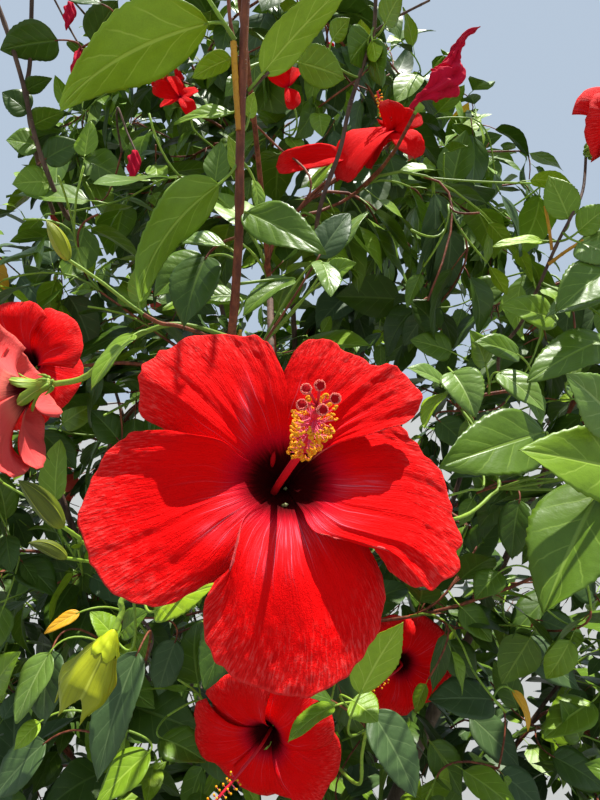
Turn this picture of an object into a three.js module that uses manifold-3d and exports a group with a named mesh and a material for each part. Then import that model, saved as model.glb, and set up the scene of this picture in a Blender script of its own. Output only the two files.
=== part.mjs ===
// A red-flowered hibiscus shrub, rooted in level ground.
//
// Six stems rise out of one short woody foot. Each stem carries a bough that reaches out low down, and
// three of them carry a leader that runs up through the middle. Every limb ends in a mass of foliage of its
// own: one twig that branches again and again, set with leaves and open blooms. One large bloom faces the
// front at eye level.
//
// Millimetres, +Z up, -Y is the front. The origin is on the ground, at the middle of the foot's flat cut.

import * as THREE from "three";
import { mergeVertices } from "three/addons/utils/BufferGeometryUtils.js";
import Module from "manifold-3d";

const wasm = await Module();
wasm.setup();

// Driving dimensions of the woody parts.
const CLEARANCE = 0.3; // between two pieces that bear on each other
const SMOOTHING = 0.5; // how far a union's surface may move as the slivers it leaves are closed up
const ROUNDING = 0.01; // corners lie on a grid of this pitch
const LIMB_ROOM = 5; // between a leaf and a limb that it passes
const LIMB_SAMPLES = 160; // points along a limb, at which that room is tested
const FOOT = {
  height: 200,
  waistHeight: 80,
  groundRadius: 58,
  waistRadius: 47,
  crownRadius: 53,
  flareLobes: 5,
  flareDepth: 0.2,
  leanX: 0.05,
  leanY: -0.04,
};
const STEM = { count: 6, footRadius: 17, tipRadius: 9, sides: 7, rings: 6 };
const LOW_BOUGH = { leavesStemAt: 0.3, footRadius: 11, tipRadius: 7, sides: 6, rings: 5, turn: 29 };
const LEADER = { leavesStemAt: 0.52, footRadius: 10, tipRadius: 6.5, sides: 6, rings: 5, everyNth: 2 };
const FRONT_ANGLE = -90; // degrees, from +X towards +Y

// Driving dimensions of the crown: where each ring of masses sits, and how far a mass reaches from its
// middle.
const MID_RING = { radius: 430, height: 1210, reach: [390, 390, 430], tipRadius: 305, tipHeight: 920 };
const LOW_RING = { radius: 460, height: 725, reach: [395, 395, 380], tipRadius: 310, tipHeight: 530 };
const TOP_RING = { radius: 205, height: 1610, reach: [350, 350, 345], tipRadius: 140, tipHeight: 1330 };
const MASS_GAP = 8; // between the spaces of two neighbouring masses
const JITTER = 28; // how far a mass strays from its even place in the ring

// Driving dimensions of what grows in a mass.
const TWIG = {
  perMass: 8,
  footRadius: 6,
  tipRadius: 2,
  firstShare: 0.85,
  laterShare: 0.7,
  pieces: 2,
  sunk: 2,
  perJoint: 2,
  spacing: 145,
  shortest: 40,
  margin: 26,
  room: 10,
  tested: [0.1, 0.2, 0.3, 0.4, 0.5, 0.6, 0.7, 0.8, 0.9],
  jointsTried: 4,
  turningCost: 0.6,
  mostTurning: 1.1,
  onwards: 0.4,
  upwards: 0.08,
};
const LEAF = {
  length: 158,
  width: 104,
  thickness: 8,
  widestAt: 0.38,
  step: 44,
  spread: 0.8,
  lastAt: 0.98,
  opens: 58,
  tipOpens: 15,
  droop: 0.3,
  tilt: 0.4,
  overhang: 60,
  tested: [0.25, 0.4, 0.7, 1],
  tries: 3,
};
const BLOOM = {
  perMass: 2,
  petals: 5,
  petalLength: 70,
  notch: 0.74,
  clawRadius: 5,
  rise: 7,
  throatDepth: 16,
  columnLength: 52,
  furledLength: 40,
  stalk: 28,
  sunk: 3,
};
const BLOOM_ROOM = 74; // a leaf keeps this far from the middle of a bloom
const GOLDEN_ANGLE = 137.5;

// The large bloom at the front: its throat, the way it faces, and its five petals, anticlockwise from the
// upper right. turn is the way a petal points as seen from the front, lift how far it stands up from flat.
const FRONT_BLOOM = {
  throat: [0, -868, 1270],
  facing: [0.07, -0.93, 0.35],
  throatDepth: 30,
  throatRadius: 5,
  roll: 5,
  thickness: 1.4,
  petals: [
    { turn: 50, length: 66, halfSpread: 34, lift: 14 },
    { turn: 120, length: 66, halfSpread: 37, lift: 8 },
    { turn: 191, length: 74, halfSpread: 35, lift: 6 },
    { turn: 277, length: 72, halfSpread: 36, lift: 8 },
    { turn: 347, length: 72, halfSpread: 34, lift: 8 },
  ],
  calyx: { length: 26, radius: 10 },
  column: { bend: 0.0035 },
};

const FRONT_STALK = { footRadius: 4, tipRadius: 2.4, straight: 45 };
const FRONT_SHOOT_TIP = [-27, -752, 1530]; // of the upright shoot that stands behind the bloom

// Blooms and furled blooms around the front one: right, back and up from its throat, and the way each
// faces.
const NEAR_BLOOMS = [
  { at: [-212, 262, 74], facing: [0.45, -0.85, 0.2], open: true },
  { at: [-190, 160, 24], facing: [-0.9, 0.05, -0.2], open: true },
  { at: [-22, 238, -232], facing: [-0.3, -0.88, -0.1], open: true },
  { at: [112, 396, -238], facing: [0.05, -0.95, 0.1], open: true },
  { at: [40, 350, 270], facing: [-0.8, -0.4, 0.1], open: true },
  { at: [112, 228, 274], facing: [0.6, -0.2, 0.75], open: false },
  { at: [208, 200, 216], facing: [0.5, -0.8, 0.1], open: true },
];

const rad = THREE.MathUtils.degToRad;

/** Numbers from 0 to 1 that are the same on every run. */
function seededNumbers(seed) {
  let state = (seed * 7919 + 104729) >>> 0;
  return () => {
    state = (Math.imul(state, 1664525) + 1013904223) >>> 0;
    return state / 4294967296;
  };
}

/** A point given by its angle round the vertical axis, its distance from that axis and its height. */
function polar(angle, radius, height) {
  return new THREE.Vector3(radius * Math.cos(rad(angle)), radius * Math.sin(rad(angle)), height);
}

/** Any unit vector across the given direction. */
function acrossOf(direction) {
  const helper = Math.abs(direction.z) < 0.9 ? new THREE.Vector3(0, 0, 1) : new THREE.Vector3(1, 0, 0);
  return new THREE.Vector3().crossVectors(direction, helper).normalize();
}

/** The point and the direction at a share of a Bezier curve. */
function along(curve, share) {
  return { point: curve.getPoint(share), direction: curve.getTangent(share) };
}

/** A geometry with only its corners and faces, and with the corners that lie together made one. */
function mergedGeometry(geometry) {
  const bare = new THREE.BufferGeometry();
  bare.setAttribute("position", geometry.getAttribute("position"));
  if (geometry.index) bare.setIndex(geometry.index);
  return mergeVertices(bare, ROUNDING / 10);
}

/** The point and the direction at a share of a rod, whose pieces run straight from ring to ring. */
function alongRod(curve, pieces, share) {
  const piece = Math.min(pieces - 1, Math.floor(share * pieces));
  const [start, end] = [piece, piece + 1].map((ring) => curve.getPoint(ring / pieces));
  const point = start.clone().lerp(end, share * pieces - piece);
  return { point, direction: end.sub(start).normalize() };
}

/** A closed solid from a three.js geometry. */
function solidOf(geometry) {
  const merged = mergedGeometry(geometry);
  return new wasm.Manifold(
    new wasm.Mesh({
      numProp: 3,
      vertProperties: new Float32Array(merged.getAttribute("position").array),
      triVerts: new Uint32Array(merged.index.array),
    }),
  );
}

/** The given solids as one, with slivers along their seams closed up and what hangs loose dropped. */
function fused(solids) {
  return largestPiece(wasm.Manifold.union(solids).asOriginal().simplify(SMOOTHING));
}

/** Whether two solids share any space. */
function overlap(one, other) {
  const [box, otherBox] = [one.boundingBox(), other.boundingBox()];
  const apart = [0, 1, 2].some((i) => box.max[i] < otherBox.min[i] || otherBox.max[i] < box.min[i]);
  return !apart && !one.intersect(other).isEmpty();
}

/** The largest piece of a solid: what a cut has left loose is dropped. */
function largestPiece(solid) {
  return solid.decompose().reduce((best, piece) => (piece.volume() > best.volume() ? piece : best));
}

/** A three.js geometry from a solid, with its corners rounded. */
function geometryOf(solid) {
  const mesh = solid.getMesh();
  const corners = new Float32Array(mesh.numVert * 3);
  for (let i = 0; i < mesh.numVert; i++) {
    const corner = mesh.vertProperties.subarray(i * mesh.numProp, i * mesh.numProp + 3);
    corners.set(corner.map((value) => Math.round(value / ROUNDING) * ROUNDING), i * 3);
  }
  const geometry = new THREE.BufferGeometry();
  geometry.setAttribute("position", new THREE.BufferAttribute(corners, 3));
  geometry.setIndex(new THREE.BufferAttribute(new Uint32Array(mesh.triVerts), 1));
  geometry.computeVertexNormals();
  return geometry;
}

/** A point where rounding has brought two sheets of a geometry together along an edge, or null. */
function pinchOf(geometry) {
  const merged = mergedGeometry(geometry);
  const position = merged.getAttribute("position");
  const facesAt = new Map();
  for (let face = 0; face < merged.index.count; face += 3) {
    const corners = [0, 1, 2].map((i) => merged.index.getX(face + i));
    if (new Set(corners).size < 3) continue;
    corners.forEach((corner, i) => {
      const ends = [corner, corners[(i + 1) % 3]].sort((a, b) => a - b).join();
      facesAt.set(ends, (facesAt.get(ends) ?? 0) + 1);
    });
  }
  for (const [ends, faces] of facesAt) {
    if (faces !== 2) return new THREE.Vector3().fromBufferAttribute(position, parseInt(ends));
  }
  return null;
}

/** A round tapering rod: a cylinder whose rings are carried along a curve, grown all over by `growth`. */
function rodGeometry(curve, footRadius, tipRadius, sides, rings, growth = 0) {
  const geometry = new THREE.CylinderGeometry(1, 1, 1, sides, rings);
  const position = geometry.getAttribute("position");
  const frames = [];
  let across = acrossOf(curve.getTangent(0));
  for (let ring = 0; ring <= rings; ring++) {
    const { point, direction } = along(curve, ring / rings);
    across = across.clone().addScaledVector(direction, -across.dot(direction)).normalize();
    frames.push({ point, across, aside: new THREE.Vector3().crossVectors(direction, across) });
  }
  for (let i = 0; i < position.count; i++) {
    const ring = Math.round((position.getY(i) + 0.5) * rings);
    const { point, across: x, aside: z } = frames[ring];
    const radius = THREE.MathUtils.lerp(footRadius, tipRadius, ring / rings) + growth;
    const at = point
      .clone()
      .addScaledVector(z, position.getX(i) * radius)
      .addScaledVector(x, position.getZ(i) * radius);
    position.setXYZ(i, at.x, at.y, at.z);
  }
  return geometry;
}

/** The woody foot: a turned profile with a flare in lobes where roots set out, cut flat at the ground. */
function footSolid(growth = 0) {
  const profile = new THREE.SplineCurve([
    new THREE.Vector2(FOOT.groundRadius + growth, 0),
    new THREE.Vector2(FOOT.waistRadius + growth, FOOT.waistHeight),
    new THREE.Vector2(FOOT.crownRadius + growth, FOOT.height * 0.78),
    new THREE.Vector2(FOOT.crownRadius * 0.62 + growth, FOOT.height * 0.97),
  ]).getPoints(6);
  const outline = [new THREE.Vector2(0, 0), ...profile, new THREE.Vector2(0, FOOT.height + growth)];
  const geometry = new THREE.LatheGeometry(outline, 20).rotateX(Math.PI / 2);
  const position = geometry.getAttribute("position");
  for (let i = 0; i < position.count; i++) {
    const [x, y, z] = [position.getX(i), position.getY(i), position.getZ(i)];
    const fade = Math.max(0, 1 - z / FOOT.waistHeight) ** 2;
    const swell = 1 + FOOT.flareDepth * fade * (1 + Math.cos(FOOT.flareLobes * Math.atan2(y, x)));
    position.setXYZ(i, x * swell + FOOT.leanX * z, y * swell + FOOT.leanY * z, z);
  }
  return solidOf(geometry);
}

/** A limb is one tapering rod along a Bezier curve. */
function makeLimb(name, curve, size) {
  const shape = (growth) =>
    solidOf(rodGeometry(curve, size.footRadius, size.tipRadius, size.sides, size.rings, growth));
  return { name, curve, size, shape };
}

/** The six stems, from inside the foot's crown out to the middle ring of masses. */
function stemLimbs() {
  const random = seededNumbers(11);
  const stray = (amount) => (random() - 0.5) * 2 * amount;
  return Array.from({ length: STEM.count }, (_, i) => {
    const angle = FRONT_ANGLE + (i * 360) / STEM.count;
    const curve = new THREE.CubicBezierCurve3(
      polar(angle, 27, 130).add(new THREE.Vector3(FOOT.leanX * 130, FOOT.leanY * 130, 0)),
      polar(angle + stray(5), 62 + stray(8), 350),
      polar(angle + stray(6), 205 + stray(25), 690 + stray(40)),
      polar(angle, MID_RING.tipRadius, MID_RING.tipHeight),
    );
    return makeLimb(`stem_${i + 1}`, curve, STEM);
  });
}

/** A low bough from each stem, out and sideways to the low ring of masses. */
function lowBoughLimbs(stems) {
  return stems.map((stem, i) => {
    const angle = FRONT_ANGLE + (i * 360) / STEM.count;
    const start = along(stem.curve, LOW_BOUGH.leavesStemAt).point;
    const curve = new THREE.CubicBezierCurve3(
      start,
      start.clone().add(polar(angle + LOW_BOUGH.turn, 85, 35)),
      polar(angle + LOW_BOUGH.turn * 0.9, 265, LOW_RING.tipHeight - 75),
      polar(angle + LOW_BOUGH.turn, LOW_RING.tipRadius, LOW_RING.tipHeight),
    );
    return makeLimb(`low_bough_${i + 1}`, curve, LOW_BOUGH);
  });
}

/** A leader from every second stem, up through the middle to the top masses. */
function leaderLimbs(stems) {
  return stems
    .filter((_, i) => i % LEADER.everyNth === 0)
    .map((stem, j) => {
      const angle = FRONT_ANGLE + (j * LEADER.everyNth * 360) / STEM.count;
      const start = along(stem.curve, LEADER.leavesStemAt).point;
      const curve = new THREE.CubicBezierCurve3(
        start,
        start.clone().add(new THREE.Vector3(0, 0, 200)),
        polar(angle, TOP_RING.tipRadius - 30, TOP_RING.tipHeight - 300),
        polar(angle, TOP_RING.tipRadius, TOP_RING.tipHeight),
      );
      return makeLimb(`leader_${j + 1}`, curve, LEADER);
    });
}

/** A mass of foliage: its middle, how far it reaches, and the limb that it grows on from. */
function makeMass(name, seed, limb, middle, reach) {
  const random = seededNumbers(seed);
  const stray = new THREE.Vector3(random() - 0.5, random() - 0.5, random() - 0.5);
  return {
    name,
    limb,
    random,
    middle: middle.clone().addScaledVector(stray, 2 * JITTER),
    reach: new THREE.Vector3(...reach),
    twigs: [],
    blooms: [],
  };
}

/** The masses of one ring, one on the tip of each limb. */
function massRing(name, seed, limbs, firstAngle, ring) {
  return limbs.map((limb, i) => {
    const angle = firstAngle + (i * 360) / limbs.length;
    const middle = polar(angle, ring.radius, ring.height);
    return makeMass(`${name}_${i + 1}`, seed + i, limb, middle, ring.reach);
  });
}

const stems = stemLimbs();
const lowBoughs = lowBoughLimbs(stems);
const leaders = leaderLimbs(stems);
const limbs = [...stems, ...lowBoughs, ...leaders];
const masses = [
  ...massRing("foliage_mid", 21, stems, FRONT_ANGLE, MID_RING),
  ...massRing("foliage_low", 77, lowBoughs, FRONT_ANGLE + LOW_BOUGH.turn, LOW_RING),
  ...massRing("foliage_top", 61, leaders, FRONT_ANGLE, TOP_RING),
];
const frontMass = masses[0];

/** Points along every limb, with the limb's radius there, for telling how near a twig comes. */
const limbPoints = limbs.flatMap(({ curve, size }) =>
  Array.from({ length: LIMB_SAMPLES + 1 }, (_, i) => ({
    point: curve.getPoint(i / LIMB_SAMPLES),
    radius: THREE.MathUtils.lerp(size.footRadius, size.tipRadius, i / LIMB_SAMPLES),
  })),
);

/** The limbs grown by the room that leaves and blooms leave them. */
const limbRooms = limbs.map((limb) => limb.shape(LIMB_ROOM));

const frontThroat = new THREE.Vector3(...FRONT_BLOOM.throat);
const frontFacing = new THREE.Vector3(...FRONT_BLOOM.facing).normalize();

/** Whether a point lies behind or before the front bloom, where no leaf may grow. */
function inFrontBloomRoom(point) {
  const from = point.clone().sub(frontThroat);
  const ahead = from.dot(frontFacing);
  const aside = from.addScaledVector(frontFacing, -ahead).length();
  return ahead > -48 && ahead < 260 && aside < 40 + 0.9 * Math.max(0, ahead + 48);
}

/** Whether a point lies in a mass's own space, at least `margin` from its neighbours and its skin. */
function keepsToSpace(mass, point, margin, skinMargin = margin) {
  const from = point.clone().sub(mass.middle);
  const shrunk = mass.reach.clone().subScalar(skinMargin);
  if (from.divide(shrunk).length() > 1) return false;
  return masses.every((other) => {
    if (other === mass) return true;
    const towards = other.middle.clone().sub(mass.middle);
    const limit = towards.length() / 2 - MASS_GAP / 2 - margin;
    return point.clone().sub(mass.middle).dot(towards.normalize()) < limit;
  });
}

/** Whether a point stays clear of every limb by `room`. */
function clearOfLimbs(point, room) {
  return limbPoints.every((limb) => limb.point.distanceTo(point) > limb.radius + room);
}

/** Whether a leaf may reach this point. */
function leafMayReach(mass, point) {
  return (
    keepsToSpace(mass, point, 0, -LEAF.overhang) &&
    !(mass === frontMass && inFrontBloomRoom(point)) &&
    mass.blooms.every((bloom) => bloom.at.distanceTo(point) > BLOOM_ROOM * bloom.scale)
  );
}

/** Adds a twig to a mass. Later twigs may leave from each of its rings but the first. */
function addTwig(mass, curve, footRadius, tipRadius, leafy, pieces = TWIG.pieces) {
  mass.twigs.push({ curve, footRadius, tipRadius, leafy, pieces, length: curve.getLength() });
  for (let ring = 1; ring <= pieces; ring++) {
    const share = ring / pieces;
    const { point, direction } = along(curve, share);
    const radius = THREE.MathUtils.lerp(footRadius, tipRadius, share);
    const back = curve.getPoint((ring - 1) / pieces).sub(point).normalize();
    mass.joints.push({ point, direction, radius, back, uses: 0 });
  }
}

/** The first twig of a mass: it meets its limb's tip and runs on through the middle of the mass. */
function growStem(mass) {
  const { point, direction } = along(mass.limb.curve, 1);
  const start = point.clone().addScaledVector(direction, CLEARANCE);
  const end = mass.middle.clone().lerp(start, -0.35);
  const reachOut = start.distanceTo(end) * 0.5;
  const bend = start.clone().addScaledVector(direction, reachOut);
  const curve = new THREE.QuadraticBezierCurve3(start, bend, end);
  mass.joints = [];
  addTwig(mass, curve, mass.limb.size.tipRadius, TWIG.footRadius * 0.7, false, 4);
}

/** The joints that a new twig may leave from, best first: near its target, with little turning back. */
function bestJoints(mass, target) {
  const rated = mass.joints.map((joint) => {
    const towards = target.clone().sub(joint.point);
    const turning = 1 - towards.dot(joint.direction) / towards.length();
    return { joint, turning, cost: towards.length() * (1 + TWIG.turningCost * turning) };
  });
  return rated
    .filter(({ joint, turning }) => joint.uses < TWIG.perJoint && turning < TWIG.mostTurning)
    .sort((one, other) => one.cost - other.cost)
    .slice(0, TWIG.jointsTried)
    .map(({ joint }) => joint);
}

/** The course of a twig: from inside its joint on in the joint's direction, a little up, to its target. */
function twigCurve(joint, target) {
  const length = joint.point.distanceTo(target);
  const start = joint.point.clone().addScaledVector(joint.back, TWIG.sunk * (1 + joint.uses));
  const bend = joint.point.clone().addScaledVector(joint.direction, TWIG.onwards * length);
  bend.z += TWIG.upwards * length;
  return new THREE.QuadraticBezierCurve3(start, bend, target.clone());
}

/** Whether a twig stays in its mass's space and clear of the limbs. */
function twigStaysIn(mass, curve) {
  return TWIG.tested.every((share) => {
    const { point } = alongRod(curve, TWIG.pieces, share);
    return keepsToSpace(mass, point, TWIG.room) && clearOfLimbs(point, TWIG.room);
  });
}

/** Grows a twig to a target from the best joint that keeps it in its space, and tells whether one does. */
function growTwig(mass, target) {
  for (const joint of bestJoints(mass, target)) {
    if (joint.point.distanceTo(target) < TWIG.shortest) return false;
    const curve = twigCurve(joint, target);
    if (twigStaysIn(mass, curve)) {
      const share = joint.uses ? TWIG.laterShare : TWIG.firstShare;
      const footRadius = THREE.MathUtils.clamp(joint.radius * share, TWIG.tipRadius, TWIG.footRadius);
      joint.uses++;
      addTwig(mass, curve, footRadius, TWIG.tipRadius, true);
      return true;
    }
  }
  return false;
}

/** A point in a mass's space, more often near its skin. */
function seededTarget(mass) {
  const up = 2 * mass.random() - 1;
  const turn = 2 * Math.PI * mass.random();
  const depth = Math.cbrt(0.2 + 0.8 * mass.random());
  const level = Math.sqrt(1 - up * up);
  const offset = new THREE.Vector3(level * Math.cos(turn), level * Math.sin(turn), up);
  offset.multiplyScalar(depth).multiply(mass.reach.clone().subScalar(TWIG.margin));
  return mass.middle.clone().add(offset);
}

/** Grows twigs to seeded targets that keep a spacing between them. */
function growTwigs(mass, count, spacing) {
  const ends = mass.blooms.map((bloom) => bloom.at);
  for (let tries = 0, grown = 0; grown < count && tries < 80 * count; tries++) {
    const target = seededTarget(mass);
    if (ends.some((end) => end.distanceTo(target) < spacing)) continue;
    if (!keepsToSpace(mass, target, TWIG.margin) || !clearOfLimbs(target, TWIG.margin)) continue;
    if (!growTwig(mass, target)) continue;
    ends.push(target);
    grown++;
  }
}

/** Adds a bloom at a point, with a twig to carry it, and tells whether there is room for both. */
function growBloom(mass, at, facing, open) {
  const foot = at.clone().addScaledVector(facing, -BLOOM.stalk);
  const bloom = { at, facing, open, foot, scale: open ? 1 : 0.6 };
  bloom.solids = bloomSolids(bloom);
  if (bloom.solids.some((solid) => limbRooms.some((room) => overlap(solid, room)))) return false;
  if (!growTwig(mass, bloom.foot)) return false;
  mass.blooms.push(bloom);
  return true;
}

/** Seeded blooms near a mass's skin, facing out of the shrub. */
function growBlooms(mass) {
  for (let tries = 0, made = 0; made < BLOOM.perMass && tries < 200; tries++) {
    const target = seededTarget(mass);
    const outwards = target.clone().setZ(0).normalize();
    const fromMiddle = target.clone().sub(mass.middle).divide(mass.reach);
    const atSkin = fromMiddle.length() > 0.72 && fromMiddle.dot(outwards) > 0.3;
    const apart = mass.blooms.every((bloom) => bloom.at.distanceTo(target) > 3 * BLOOM.petalLength);
    if (!atSkin || !apart || !keepsToSpace(mass, target, BLOOM.petalLength)) continue;
    if (growBloom(mass, target, outwards.add(new THREE.Vector3(0, 0, 0.3)).normalize(), true)) made++;
  }
}

/** A geometry's solid, with each of its corners moved to where `place(x, y, z)` puts it. */
function shapedSolid(geometry, place) {
  const position = geometry.getAttribute("position");
  for (let i = 0; i < position.count; i++) {
    const at = place(position.getX(i), position.getY(i), position.getZ(i));
    position.setXYZ(i, at.x, at.y, at.z);
  }
  return solidOf(geometry);
}

/**
 * A leaf: a tetrahedron drawn out flat. Two of its corners are the leaf's ends, joined by the keel below,
 * and two its sides, joined by the crease where the blade arches over. Null where the leaf would stray.
 */
function leafSolid(mass, root, direction, scale) {
  const outwards = root.clone().sub(mass.middle).setZ(0).normalize();
  const lift = new THREE.Vector3(0, 0, 1).addScaledVector(outwards, LEAF.tilt);
  const normal = lift.addScaledVector(direction, -lift.dot(direction)).normalize();
  const across = new THREE.Vector3().crossVectors(normal, direction);
  const [length, halfWidth] = [LEAF.length * scale, (LEAF.width * scale) / 2];
  const onBlade = (ahead, aside, rise) => {
    const point = root.clone().addScaledVector(direction, ahead);
    return point.addScaledVector(across, aside).addScaledVector(normal, rise);
  };
  const strays = LEAF.tested.some((share) =>
    [-1, 0, 1].some((side) => {
      const aside = side * halfWidth * Math.sin(Math.PI * share);
      return !leafMayReach(mass, onBlade(share * length, aside, 0));
    }),
  );
  if (strays) return null;
  return shapedSolid(new THREE.TetrahedronGeometry(1), (x, y, z) => {
    if (z > 0) return onBlade(x > 0 ? length : 0, 0, 0);
    return onBlade(LEAF.widestAt * length, x > 0 ? halfWidth : -halfWidth, LEAF.thickness);
  });
}

/**
 * The leaves of a twig: one at its tip, and the others turned round it by the golden angle. A leaf that
 * would cross one of the `others` in its mass is skipped.
 */
function leafSolids(mass, twig, others) {
  const count = Math.max(1, Math.round((LEAF.spread * twig.length) / LEAF.step));
  const leaves = [];
  let turn = 0;
  for (let i = 0; i < count; i++) {
    const share = LEAF.lastAt - (LEAF.spread * i) / count;
    const { point, direction } = alongRod(twig.curve, twig.pieces, share);
    const opens = rad(i === 0 ? LEAF.tipOpens : LEAF.opens);
    const size = 0.85 + 0.3 * mass.random();
    for (let tries = 0; tries < LEAF.tries; tries++) {
      turn += GOLDEN_ANGLE;
      const side = acrossOf(direction).applyAxisAngle(direction, rad(turn));
      const heading = direction.clone().multiplyScalar(Math.cos(opens));
      heading.addScaledVector(side, Math.sin(opens));
      heading.z -= LEAF.droop;
      heading.normalize();
      const solid = leafSolid(mass, point, heading, size);
      if (!solid || [...others, ...leaves].some((other) => overlap(solid, other))) continue;
      leaves.push(solid);
      break;
    }
  }
  return leaves;
}

/** A slim four-sided spindle from one point to another, widest at a share of its length. */
function spindleSolid(start, end, widestAt, radius) {
  const heading = end.clone().sub(start).normalize();
  const side = acrossOf(heading);
  const over = new THREE.Vector3().crossVectors(heading, side);
  return shapedSolid(new THREE.OctahedronGeometry(1), (x, y, z) => {
    const share = Math.abs(x) < 0.5 ? widestAt : Math.max(0, x);
    const at = start.clone().lerp(end, share);
    return at.addScaledVector(side, y * radius).addScaledVector(over, z * radius);
  });
}

/** An open bloom: a shallow funnel whose rim runs in and out in five petals. */
function funnelSolid({ at, facing, foot }) {
  const side = acrossOf(facing);
  const over = new THREE.Vector3().crossVectors(side, facing);
  const start = foot.clone().addScaledVector(facing, -BLOOM.sunk);
  return shapedSolid(new THREE.CylinderGeometry(1, 1, 1, 2 * BLOOM.petals, 1), (x, y, z) => {
    const isRim = y > 0;
    const fromAxis = Math.hypot(x, z);
    const corner = Math.round((Math.atan2(z, x) / Math.PI) * BLOOM.petals);
    const radius = isRim ? BLOOM.petalLength * (corner % 2 ? 1 : BLOOM.notch) : BLOOM.clawRadius;
    const ahead = isRim ? BLOOM.rise * fromAxis - BLOOM.throatDepth * (1 - fromAxis) : 0;
    return (isRim ? at : start)
      .clone()
      .addScaledVector(side, x * radius)
      .addScaledVector(over, z * radius)
      .addScaledVector(facing, ahead);
  });
}

/** The solids of a bloom in a mass: a funnel and the column in it, or one thick spindle if it is furled. */
function bloomSolids(bloom) {
  const { at, facing, foot } = bloom;
  if (bloom.open) {
    const columnTip = at.clone().addScaledVector(facing, BLOOM.columnLength);
    return [funnelSolid(bloom), spindleSolid(foot, columnTip, 0.7, 5)];
  }
  const start = foot.clone().addScaledVector(facing, -BLOOM.sunk);
  return [spindleSolid(start, at.clone().addScaledVector(facing, BLOOM.furledLength), 0.55, 12)];
}

/** How far a solid's box lies from a point. */
function boxDistance(solid, point) {
  const { min, max } = solid.boundingBox();
  return new THREE.Box3(new THREE.Vector3(...min), new THREE.Vector3(...max)).distanceToPoint(point);
}

/** Everything in a mass as one geometry. A leaf at which two sheets of it would pinch is left off. */
function massGeometry(mass) {
  const twigs = mass.twigs.map((twig, i) =>
    solidOf(rodGeometry(twig.curve, twig.footRadius, twig.tipRadius, i === 0 ? 4 : 3, twig.pieces)),
  );
  const blooms = mass.blooms.flatMap((bloom) => bloom.solids);
  const leaves = [];
  mass.twigs.forEach((twig, i) => {
    const others = [...limbRooms, ...twigs.filter((_, j) => j !== i), ...blooms, ...leaves];
    if (twig.leafy) leaves.push(...leafSolids(mass, twig, others));
  });
  for (;;) {
    const geometry = geometryOf(fused([...twigs, ...blooms, ...leaves]));
    const pinch = pinchOf(geometry);
    if (!pinch || !leaves.length) return geometry;
    leaves.sort((one, other) => boxDistance(one, pinch) - boxDistance(other, pinch)).shift();
  }
}

/** The front bloom's own directions: right, up and facing. */
function frontBloomAxes() {
  const right = new THREE.Vector3(1, 0, 0).addScaledVector(frontFacing, -frontFacing.x).normalize();
  return { right, up: new THREE.Vector3().crossVectors(frontFacing, right) };
}

/** A point of a petal: `reach` runs from claw to margin, `side` from edge to edge. */
function petalPoint(petal, reach, side) {
  const { right, up } = frontBloomAxes();
  const fan = petal.halfSpread * (0.55 + 0.45 * Math.min(1, reach / 0.6));
  const angle = rad(petal.turn + fan * side);
  const margin = petal.length * (1 - 0.22 * Math.abs(side) ** 2.6);
  const radius = FRONT_BLOOM.throatRadius + (margin - FRONT_BLOOM.throatRadius) * reach;
  const funnel = -FRONT_BLOOM.throatDepth * Math.exp(-radius / 11);
  const lift = Math.sin(rad(petal.lift)) * radius - 16 * reach ** 4;
  const overlap = -FRONT_BLOOM.roll * side * Math.min(1, 1.6 * reach);
  return frontThroat
    .clone()
    .addScaledVector(right, radius * Math.cos(angle))
    .addScaledVector(up, radius * Math.sin(angle))
    .addScaledVector(frontFacing, funnel + lift + overlap);
}

/** A petal: a thin block whose faces are laid on the petal's surface. */
function petalSolid(petal) {
  const geometry = new THREE.BoxGeometry(1, 1, 1, 4, 5, 1);
  const position = geometry.getAttribute("position");
  for (let i = 0; i < position.count; i++) {
    const [reach, side] = [position.getX(i) + 0.5, 2 * position.getY(i)];
    const at = petalPoint(petal, reach, side);
    at.addScaledVector(frontFacing, position.getZ(i) * FRONT_BLOOM.thickness * (1 + 2 * (1 - reach)));
    position.setXYZ(i, at.x, at.y, at.z);
  }
  return solidOf(geometry);
}

/** A turned piece standing on the front bloom's axis: pairs of [radius, height above the throat]. */
function turnedOnBloom(pairs, curve) {
  const { right, up } = frontBloomAxes();
  const geometry = new THREE.LatheGeometry(
    pairs.map(([radius, height]) => new THREE.Vector2(radius, height)),
    10,
  );
  const position = geometry.getAttribute("position");
  for (let i = 0; i < position.count; i++) {
    const height = position.getY(i);
    const rise = curve * Math.max(0, height) ** 2;
    const at = frontThroat
      .clone()
      .addScaledVector(right, -position.getX(i))
      .addScaledVector(up, position.getZ(i) + rise)
      .addScaledVector(frontFacing, height);
    position.setXYZ(i, at.x, at.y, at.z);
  }
  return solidOf(geometry);
}

/** The front bloom: petals, the column with its brush of stamens, and the green calyx behind. */
function frontBloomSolid() {
  const { calyx, column, throatDepth } = FRONT_BLOOM;
  const back = -throatDepth - 4;
  const brush = [[2.2, 24], [8.5, 34], [9.5, 48], [5, 58], [0, 62]];
  const columnSolid = turnedOnBloom([[0, back], [3.4, back], ...brush], column.bend);
  const rim = back + calyx.length;
  const cup = [[0, back - 6], [4, back - 6], [calyx.radius, back + 4], [calyx.radius + 1, rim], [0, rim]];
  return fused([...FRONT_BLOOM.petals.map(petalSolid), columnSolid, turnedOnBloom(cup, 0)]);
}

/** The place where the front bloom's stalk ends, just clear of its calyx. */
function frontBloomFoot() {
  return frontThroat.clone().addScaledVector(frontFacing, -FRONT_BLOOM.throatDepth - 10 - CLEARANCE);
}

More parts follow.
